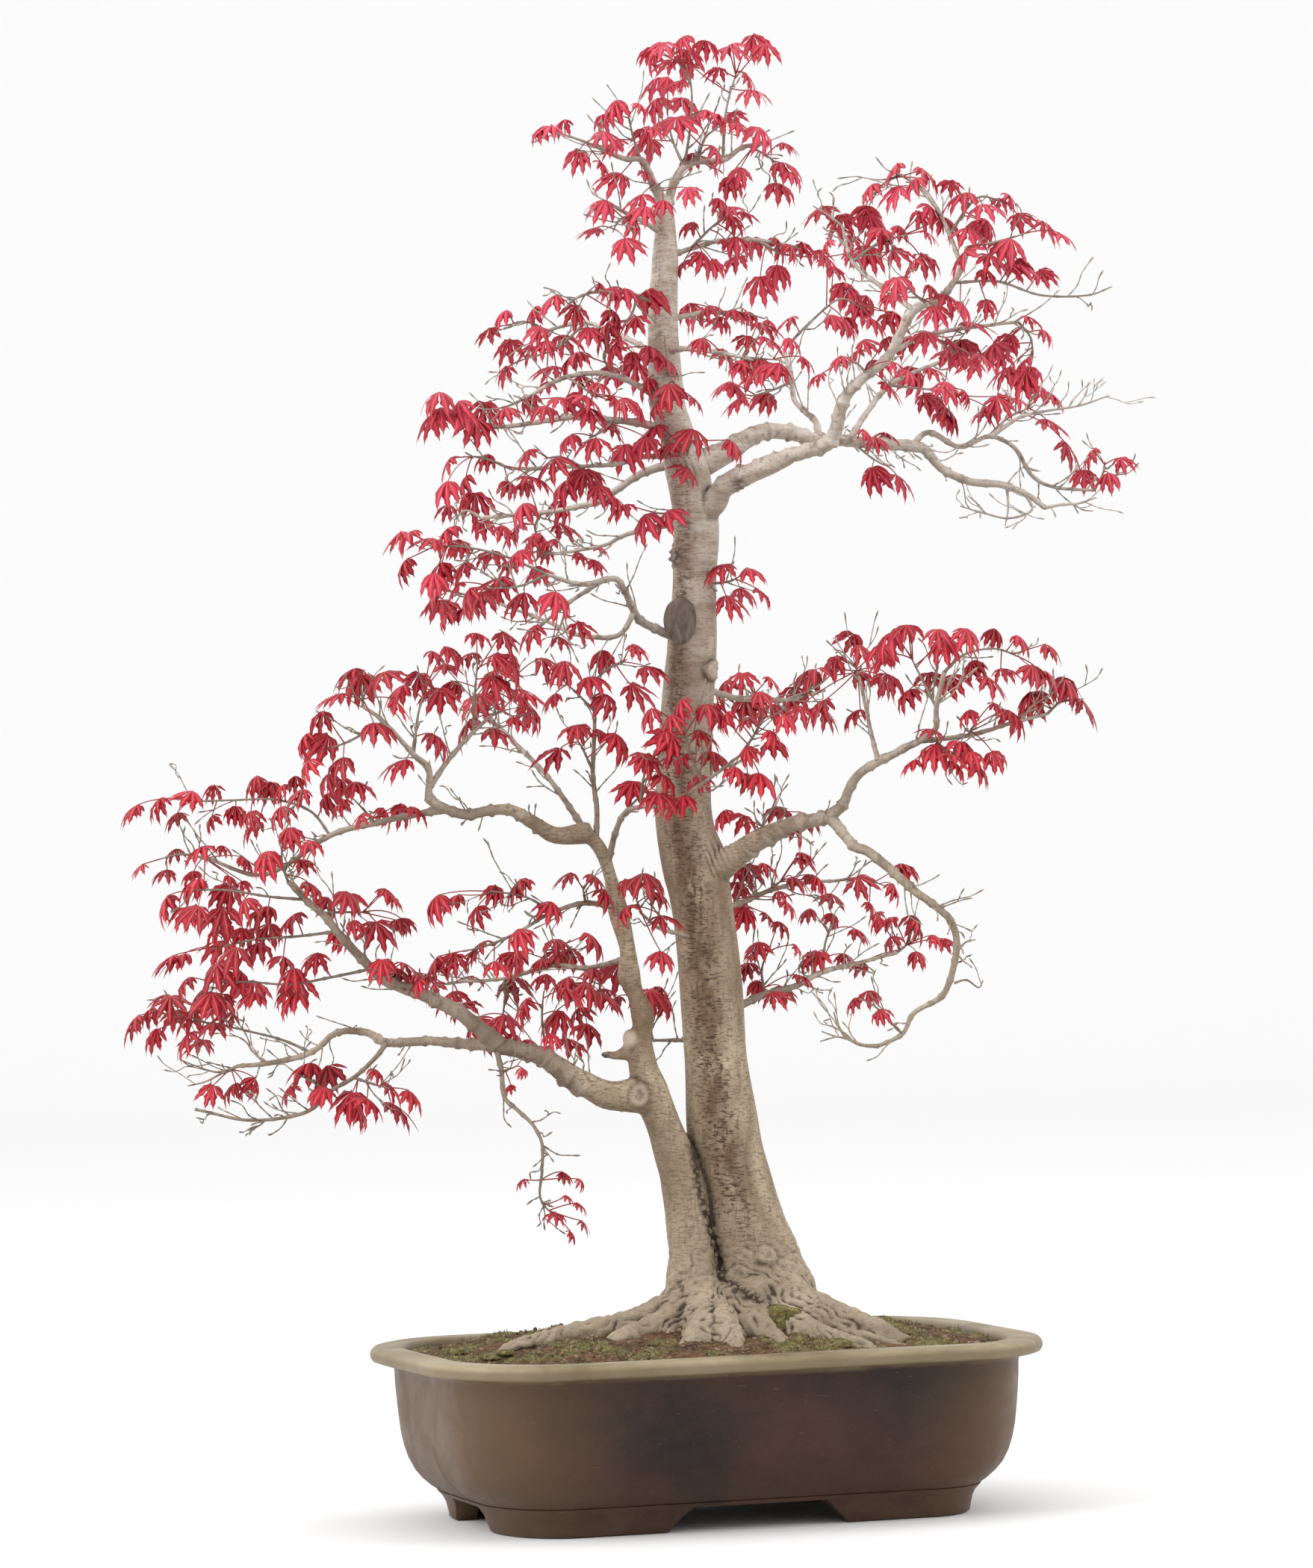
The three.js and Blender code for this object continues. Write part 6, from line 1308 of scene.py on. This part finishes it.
        ([(178, 843, -122), (196, 846, -134), (218, 852, -146)], [(178, 856), (207, 848),
         (228, 860), (240, 852), (176, 840), (192, 838), (204, 832)])]),
    "f_down_low": ([], [
        ([(134, 316, -102), (124, 326, -114), (114, 336, -122)], [(111, 345), (102, 340),
         (119, 332)])]),
    "f_far": ([(2.4, 1.3, [(144, 512, -100), (178, 516, -84), (205, 524, -68), (231, 531, -54)])], [
        ([(231, 531, -54), (242, 542, -46)], [(243, 554), (230, 560), (254, 541), (221, 546)]),
        ([(178, 516, -84), (184, 526, -98)], [(195, 538), (179, 533), (206, 533), (194, 505)]),
        ([(156, 513, -96), (164, 505, -108)], [(168, 499), (143, 500), (184, 496), (154, 520),
         (172, 512), (156, 510), (180, 504)])]),
    "f_right_near": ([], [
        ([(40, 449, -36), (42, 462, -24), (50, 470, -14)], [(16, 467), (28, 464), (52, 470),
         (66, 466)])]),
    "f_rise": ([(2.2, 1.3, [(118, 499, -88), (113, 518, -80), (110, 534, -72), (105, 556, -62)])], [
        ([(105, 556, -62), (102, 566, -54)], [(104, 577), (119, 577), (90, 570), (77, 561),
         (82, 540), (106, 534), (120, 556)])]),
    "f_up_left": ([], [
        ([(157, 534, -110), (148, 552, -104), (138, 572, -98)], [(140, 590), (127, 585), (159, 578),
         (152, 558), (139, 547), (165, 556), (124, 570)])]),
    "f_up_tip": ([], [
        ([(162, 558, -117), (176, 570, -108), (196, 574, -98), (214, 568, -90)], [(196, 588),
         (211, 583), (177, 587), (181, 566), (200, 561), (222, 563), (230, 577)])]),
    "g_back": ([(3.6, 1.5, [(10, 330, 6), (42, 345, 32), (62, 351, 54), (81, 361, 78),
        (101, 366, 102), (130, 374, 130)])], [
        ([(130, 374, 130), (140, 382, 144)], [(143, 375), (126, 385), (142, 396), (108, 368),
         (118, 398), (154, 386), (128, 398)]),
        ([(81, 361, 78), (82, 378, 92), (86, 392, 106)], [(95, 373), (78, 374), (87, 400),
         (72, 403), (102, 390)]),
        ([(42, 345, 32), (40, 362, 46), (46, 378, 58)], [(38, 354), (52, 351), (64, 358), (31, 366),
         (38, 380), (63, 378), (51, 394), (38, 376)])]),
    "g_high": ([(3, 1.4, [(0, 398, 6), (22, 404, 34), (44, 414, 64), (66, 420, 94),
        (88, 422, 124)])], [
        ([(88, 422, 124), (106, 424, 136), (120, 420, 146)], [(104, 425), (127, 420), (86, 414),
         (112, 408), (132, 434)]),
        ([(22, 404, 34), (27, 418, 48)], [(23, 420), (29, 432), (40, 433), (28, 403), (43, 399)]),
        ([(44, 414, 64), (56, 424, 76)], [(51, 414), (60, 424), (76, 424), (64, 437)])]),
    "h_end": ([(2.2, 1.3, [(-211, 312, -14), (-219, 301, -26), (-233, 288, -38), (-250, 278, -48),
        (-266, 264, -58), (-303, 259, -70), (-339, 266, -82)])], [
        ([(-233, 288, -38), (-222, 284, -52), (-208, 280, -64)], [(-234, 278), (-224, 274),
         (-211, 284), (-208, 271), (-196, 279), (-220, 294)]),
        ([(-250, 278, -48), (-262, 286, -40), (-270, 290, -30)], [(-262, 298), (-250, 296),
         (-256, 282), (-276, 282)])]),
    "h_mid_rise": ([], [
        ([(-262, 306, 24), (-280, 314, 36), (-302, 320, 46), (-330, 326, 56), (-352, 328, 66)],
         [(-325, 341), (-356, 344), (-367, 336), (-378, 331), (-352, 335), (-339, 336), (-326, 326),
         (-364, 322), (-344, 319), (-334, 315), (-314, 332)])]),
    "h_mid_tip": ([], [
        ([(-311, 297, 54), (-320, 292, 60)], [(-312, 286), (-299, 289), (-327, 284)])]),
    "h_rise": ([], [
        ([(-104, 303, -52), (-107, 326, -64), (-106, 345, -74)], [(-102, 317), (-90, 314),
         (-95, 332), (-118, 340), (-104, 357), (-92, 347)])]),
    "h_up": ([(5.4, 1.7, [(-136, 309, -62), (-152, 322, -64), (-163, 332, -66), (-178, 339, -69),
        (-193, 344, -72), (-211, 351, -76), (-221, 360, -78), (-232, 372, -80), (-244, 385, -84),
        (-254, 397, -86), (-265, 406, -88), (-277, 418, -93)])], [
        ([(-277, 418, -93), (-281, 430, -100), (-281, 444, -106)], [(-269, 433), (-264, 418),
         (-291, 438), (-276, 454)]),
        ([(-265, 406, -88), (-290, 408, -100), (-318, 412, -112), (-344, 412, -124)], [(-336, 420),
         (-316, 416), (-306, 406), (-320, 401), (-358, 408), (-290, 402), (-345, 400)]),
        ([(-244, 385, -84), (-270, 382, -66), (-300, 380, -46), (-328, 374, -28)], [(-322, 391),
         (-308, 388), (-289, 391), (-297, 378), (-320, 380), (-346, 371), (-325, 364), (-280, 369),
         (-273, 397)]),
        ([(-254, 397, -86), (-240, 398, -72), (-222, 398, -58)], [(-250, 408), (-236, 410),
         (-213, 412), (-234, 392), (-243, 386), (-218, 392), (-205, 393)]),
        ([(-211, 351, -76), (-208, 360, -90)], [(-214, 366), (-200, 364)]),
        ([(-221, 360, -78), (-251, 354, -64), (-276, 350, -50), (-304, 352, -36), (-332, 352, -24)],
         [(-257, 371), (-273, 361), (-278, 346), (-308, 359), (-299, 345), (-344, 355), (-334, 347),
         (-321, 344)])]),
    "i_drop": ([(2.3, 1.3, [(-138, 308, -62), (-134, 291, -72), (-132, 274, -80), (-123, 265, -86),
        (-113, 255, -92), (-107, 242, -96), (-107, 224, -98)])], [
        ([(-107, 224, -98), (-108, 206, -103), (-98, 193, -108)], [(-93, 224), (-82, 219),
         (-91, 208), (-98, 196), (-88, 184), (-80, 191), (-119, 219)]),
        ([(-134, 291, -72), (-126, 294, -86)], [(-120, 293), (-128, 283)])]),
    "low_between": ([(2.2, 1.2, [(2, 312, 4), (-16, 314, 26), (-33, 314, 36)])], [
        ([(-33, 314, 36), (-37, 332, 44), (-40, 346, 52)], [(-36, 348), (-26, 345), (-56, 344),
         (-54, 366)])]),
    "m_back": ([(2.6, 1.3, [(-50, 368, -17), (-75, 362, 14), (-100, 364, 42), (-132, 356, 68),
        (-163, 354, 90)])], [
        ([(-163, 354, 90), (-176, 352, 102)], [(-179, 354), (-167, 348), (-153, 358), (-160, 340),
         (-190, 360)]),
        ([(-100, 364, 42), (-96, 374, 56), (-88, 382, 68)], [(-107, 369), (-98, 382), (-88, 376),
         (-76, 386), (-120, 374), (-97, 374)]),
        ([(-75, 362, 14), (-80, 350, 28), (-84, 340, 40)], [(-90, 356), (-73, 362), (-97, 334),
         (-83, 336), (-77, 325), (-68, 346)]),
        ([(-132, 356, 68), (-132, 342, 80), (-134, 328, 90)], [(-128, 357), (-132, 332),
         (-140, 319), (-126, 319), (-150, 330)])]),
    "m_front": ([(2.6, 1.3, [(-57, 402, -18), (-78, 405, -42), (-100, 398, -66),
        (-125, 383, -86)])], [
        ([(-125, 383, -86), (-142, 376, -94), (-160, 371, -100)], [(-125, 371), (-148, 377),
         (-139, 365), (-165, 370), (-123, 386), (-177, 368), (-184, 356)]),
        ([(-100, 398, -66), (-118, 408, -80), (-142, 412, -92)], [(-163, 410), (-137, 415),
         (-122, 420), (-101, 405), (-150, 402), (-177, 409), (-118, 420)]),
        ([(-78, 405, -42), (-80, 416, -56)], [(-88, 425), (-74, 424), (-66, 414)])]),
    "shoulder_left": ([(2.6, 1.4, [(-25, 852, 0), (-36, 860, -10), (-48, 866, -22),
        (-62, 874, -34)])], [
        ([(-48, 866, -22), (-56, 862, -34), (-60, 854, -42)], [(-64, 876), (-47, 866), (-38, 872),
         (-70, 858), (-52, 850)])]),
    "shoulder_right": ([(2.6, 1.4, [(-24, 838, 2), (-8, 844, 14), (12, 850, 28), (36, 851, 46),
        (64, 846, 64)])], [
        ([(-8, 844, 14), (6, 858, 6), (16, 866, -4)], [(11, 878), (20, 866), (22, 852), (0, 842),
         (-12, 836), (-6, 862), (18, 872)]),
        ([(36, 851, 46), (52, 842, 56), (64, 840, 68)], [(24, 840), (36, 853), (50, 852), (66, 849),
         (78, 844), (50, 834)])]),
    "trunk_fork": ([], [
        ([(-12, 700, 0), (-8, 712, -26), (-2, 716, -40)], [(-21, 713), (-6, 722), (-4, 701),
         (19, 715), (-30, 726)])]),
    "trunk_high": ([], [
        ([(-26, 760, 0), (-22, 757, -28), (-16, 750, -40)], [(-24, 770), (-36, 757), (-22, 752),
         (-7, 744), (-30, 740)])]),
    "trunk_middle": ([], [
        ([(-6, 668, 0), (-20, 666, -24), (-34, 666, -34)], [(-38, 665), (-23, 668), (-50, 672)])]),
    "trunk_right": ([], [
        ([(-5, 620, 0), (16, 620, -14), (26, 624, -24)], [(16, 611), (31, 629), (38, 615),
         (14, 632)])]),
}
# The lobes' angle, share of the leaf's reach, and rows; where the lobes part; and the branchlets
# whose leaves are still small.
leaf_lobes = [(0, 1.0, 8), (33, 0.96, 8), (-33, 0.96, 8), (68, 0.8, 8), (-68, 0.8, 8),
              (106, 0.5, 5), (-106, 0.5, 5)]
sinus, web_spread, teeth_depth = 0.35, math.tan(math.radians(17.5)), 0.22
foot_thickness, leaf_thickness, snap_reach, twig_spacing = 0.0003, 0.00034, 0.016, 0.012
small_leaves = {"i_drop": 0.55, "h_mid_tip": 0.8, "a_far": 0.85, "f_down_low": 0.6, "c_lower": 0.75,
                "e_lower_near": 0.8, "crown_right": 0.85, "g_back": 0.8, "g_high": 0.85}
leaf_draw = np.random.default_rng(7119)


def turned(first, second, angle):
    """Two square directions, turned in their plane."""
    c, s = math.cos(angle), math.sin(angle)
    return c * first + s * second, c * second - s * first


def leaf_skin(hub, outward, reach, hang, curl, fold, roll):
    """One leaf as closed thin lobes: (points, faces, across, along)."""
    up = np.array((0.0, 0.0, 1.0))
    ahead = outward - up * outward.dot(up)
    ahead /= max(np.linalg.norm(ahead), 1e-6)
    side = np.cross(up, ahead)
    up, ahead = turned(up, ahead, hang)
    side, up = turned(side, up, roll)
    points, faces, across, along = [], [], [], []
    draw_width = leaf_draw.uniform(0.12, 0.16)
    for angle, share, lobe_rows in leaf_lobes:
        t = np.linspace(0, 1, lobe_rows + 1)
        swing = math.radians(angle + leaf_draw.uniform(-5, 5))
        length = reach * share * leaf_draw.uniform(0.92, 1.06)
        dip = np.radians(6 + (curl + leaf_draw.uniform(-14, 12)) * t ** 0.8)
        slope = (dip[1:] + dip[:-1]) / 2
        out, down = (np.concatenate([[0], np.cumsum(wave(slope))]) * length / lobe_rows
                     for wave in (np.cos, np.sin))
        ray = math.cos(swing) * ahead + math.sin(swing) * side
        edge_way = -math.sin(swing) * ahead + math.cos(swing) * side
        free = np.clip((t - sinus) / (1 - sinus), 0, 1)
        lobe = draw_width * reach * share ** 0.5 * (0.82 + 2.1 * free) * (1 - free) ** 1.5
        teeth = 1 + teeth_depth * np.where(np.arange(lobe_rows + 1) % 2, -1, 1) * (free > 0)
        web = out * web_spread * 1.04
        width = np.where(t < sinus, np.minimum(web, lobe * 1.25), np.minimum(lobe * teeth, web * 1.3))
        rib = hub + out[:, None] * ray - down[:, None] * up
        face_way = np.sin(dip)[:, None] * ray + np.cos(dip)[:, None] * up
        start = len(points)
        points += [rib[0], rib[0] - face_way[0] * foot_thickness]
        across += [0, 0]
        along += [0, 0]
        for k in range(1, lobe_rows):
            rise = face_way[k] * width[k] * fold
            points += [rib[k] - edge_way * width[k] + rise, rib[k],
                       rib[k] + edge_way * width[k] + rise, rib[k] - face_way[k] * leaf_thickness]
            across += [-1, 0, 1, 0]
            along += [t[k]] * 4
        points.append(rib[-1])
        across.append(0)
        along.append(1)
        first, tip = start + 2, start + 2 + 4 * (lobe_rows - 1)
        faces += [(start, first, first + 1), (start, first + 1, first + 2),
                  (start + 1, first + 3, first), (start + 1, first + 2, first + 3),
                  (start, start + 1, first), (start, first + 2, start + 1)]
        for k in range(lobe_rows - 2):
            a = first + 4 * k
            b = a + 4
            faces += [(a, b, b + 1, a + 1), (a + 1, b + 1, b + 2, a + 2),
                      (a, a + 3, b + 3, b), (a + 3, a + 2, b + 2, b + 3)]
        a = tip - 4
        faces += [(a, tip, a + 1), (a + 1, tip, a + 2), (a + 3, tip, a), (a + 2, tip, a + 3)]
    return points, faces, across, along


def arched(foot, hub, lift, steps=7):
    """A leaf stalk's line: it leaves the stem straight and bends over to the leaf."""
    reach = np.linalg.norm(hub - foot)
    way = (hub - foot) / reach
    a = foot + way * reach * 0.35 + np.array((0, 0, lift * reach * 0.7))
    b = hub - way * reach * 0.3 + np.array((0, 0, lift * reach))
    t = np.linspace(0, 1, steps)[:, None]
    return (1 - t) ** 3 * foot + 3 * t * (1 - t) ** 2 * a + 3 * t * t * (1 - t) * b + t ** 3 * hub


limb_lines = [smooth_route([place(*row[:3]) for row in rows], [1] * len(rows), 0.003)[0]
              for rows in (trunk_rows, second_trunk_rows)]
limb_lines += [bough_line(thick, thin, route)[0] for thick, thin, route in boughs.values()]
limb_lines += [bough_line(thick, thin, route)[0] for limbs, _ in branchlets.values()
               for thick, thin, route in limbs]
limb_points = np.vstack(limb_lines)


def snapped(spot):
    """The nearest point of a limb, so that a spray's stem starts on it."""
    gaps = np.linalg.norm(limb_points - spot, axis=1)
    return limb_points[gaps.argmin()] if gaps.min() < snap_reach else spot


def with_companions(hubs, draw):
    """Leaves grow in opposite pairs: those seen have partners deeper in, most where it is crowded."""
    for x, up in hubs:
        yield x, up, 0
        crowd = sum(math.hypot(x - a, up - b) < 30 for a, b in hubs) - 1
        if draw.random() < min(0.06 + 0.05 * crowd, 0.4):
            side, rise = draw.normal(0, 8), draw.normal(-1, 5)
            yield x + side, up + rise, draw.choice((-1, 1)) * draw.uniform(12, 26)


def branchlet(name, limbs, sprays, seed):
    """A branchlet's fine branches, twigs and leaves, in one mesh with its marks for the materials."""
    draw = np.random.default_rng(seed)
    skins, slots = [], []
    marks_now = {"age": [], "across": [], "along": [], "stalk": [], "tint": []}

    def add(skin, slot_index=0, **values):
        skins.append(skin)
        slots.extend([slot_index] * len(skin[1]))
        for key, row in marks_now.items():
            value = values.get(key, 0)
            row.extend(value if isinstance(value, list) else [value] * len(skin[0]))

    for k, (thick, thin, route) in enumerate(limbs):
        slim = 1.0 if thick > 4.5 else 0.76
        add(limb_skin(thick * slim, thin * slim, route, 10, seed * 7 + k), age=0.2)
        line, girth = bough_line(thick * slim, thin * slim, route)
        for _ in range(int(len(line) * fine_step / twig_spacing)):
            add(bare_twig(line, girth, draw, 0.25), age=0.1)
    for route, hubs in sprays:
        spots = [np.array(place(*spot)) for spot in route]
        spots[0] = snapped(spots[0])
        line, girth = smooth_route(spots, np.linspace(1.05, 0.5, len(spots)) * MM, 0.0018)
        reach = reach_along(line)
        sight_spots = seen_from_front(line)
        for x, up, extra in with_companions(hubs, draw):
            gap = np.hypot(sight_spots[:, 0] - x, sight_spots[:, 1] - up)
            k = int(gap.argmin())
            back = reach[k] - 0.4 * gap[k] * MM
            k = int(np.clip(np.searchsorted(reach, max(back, 0.004)), 1, len(line) - 1))
            foot = line[k]
            away = sight_spots[k][2] + draw.normal(0, 11) + extra
            hub = np.array(place(x, up, away))
            if np.linalg.norm(hub - foot) < 0.009:
                hub = np.array(place(x, up, away + draw.choice((-1, 1)) * 11))
            stem_way = line[min(k + 1, len(line) - 1)] - line[k - 1]
            stem_way /= np.linalg.norm(stem_way)
            outward = (hub - foot) / np.linalg.norm(hub - foot) + 0.5 * stem_way
            outward += draw.normal(0, 0.3, 3)
            high = np.clip((up - 700) / 250, 0, 1)
            size = draw.uniform(16.5, 27.5) * MM * (1 - 0.08 * high) * small_leaves.get(name, 1)
            hang = math.radians(draw.uniform(2, 40))
            curl = draw.uniform(38, 86) - 8 * high
            add_leaf(add, foot, hub, outward, size, hang, curl, draw)
        swell = np.ones(len(line))
        knuckle = draw.uniform(0.006, 0.01)
        while knuckle < reach[-1] - 0.002:
            swell += draw.uniform(0.3, 0.55) * np.exp(-((reach - knuckle) / 0.0010) ** 2)
            knuckle += draw.uniform(0.009, 0.016)
        swell[-1] = 0.45
        twig = ring_skin(limb_rings(line, girth, 6, lambda k, angles: np.full(6, swell[k])))
        add(twig)
        for _ in range(draw.integers(2, 6)):
            add(bare_twig(line, girth, draw))
    piece = mesh_piece("leafy_" + name, *join_skins(skins))
    for key, values in marks_now.items():
        mark(piece.data, key, values)
    piece.data.materials.append(bark)
    piece.data.materials.append(maple_leaf)
    piece.data.polygons.foreach_set("material_index", slots)
    return piece


def add_leaf(add, foot, hub, outward, size, hang, curl, draw):
    """Adds a leaf, and the stalk that joins it to its stem."""
    shade = float(draw.uniform(0, 1))
    fold, roll = draw.uniform(-0.25, 0.35), math.radians(draw.normal(0, 14))
    points, faces, across, along = leaf_skin(hub, outward, size, hang, curl, fold, roll)
    add((points, faces), 1, across=across, along=along, tint=shade)
    line = arched(foot, hub, draw.uniform(-0.08, 0.16))
    rings = limb_rings(line, np.linspace(0.5, 0.36, len(line)) * MM, 4)
    add(ring_skin(rings), 1, stalk=1.0, tint=shade)


# Crimson leaves, pinker towards the top of the tree, with paler ribs and side veins.
maple_leaf, tree, surface = new_material("maple_leaf")
where = coords(tree)
tint = read_mark(tree, "tint")
across = sums(tree, "ABSOLUTE", read_mark(tree, "across"))
along = read_mark(tree, "along")
height = axis_of(tree, where, 2)
mottle = clouds(tree, where, 160.0, 4, 0.6)
low_leaf = blend_tones(tree, tint, tone(158, 8, 28), tone(206, 22, 46))
high_leaf = blend_tones(tree, tint, tone(196, 22, 52), tone(226, 70, 96))
leaf = blend_tones(tree, span(tree, height, 0.5, 0.95), low_leaf, high_leaf)
side_vein = sums(tree, "SUBTRACT", times(tree, along, 11.0), times(tree, across, 1.6))
side_gap = sums(tree, "ABSOLUTE", sums(tree, "SUBTRACT", sums(tree, "FRACT", side_vein), 0.5))
side_line = span(tree, side_gap, 0.1, 0.0, 0, 0.28)
rib_line = span(tree, across, 0.13, 0.03, 0, 0.55)
vein = sums(tree, "MAXIMUM", side_line, rib_line)
leaf = coated(tree, leaf, [(span(tree, mottle, 0.45, 0.72, 0, 0.3), (128, 6, 22)),
                           (span(tree, across, 0.75, 1.0, 0, 0.25), (110, 12, 20)),
                           (vein, (232, 128, 134)), (read_mark(tree, "stalk"), (150, 46, 44))])
pucker = sums(tree, "SUBTRACT", times(tree, mottle, 0.6), vein)
fill(tree, surface, Base_Color=leaf, Roughness=0.5, Normal=relief(tree, pucker, 0.0003, 0.5))

for seed, (name, (limbs, sprays)) in enumerate(branchlets.items(), 500):
    piece = branchlet(name, limbs, sprays, seed)
    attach(piece, "root")
    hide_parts("leaves_" + name)
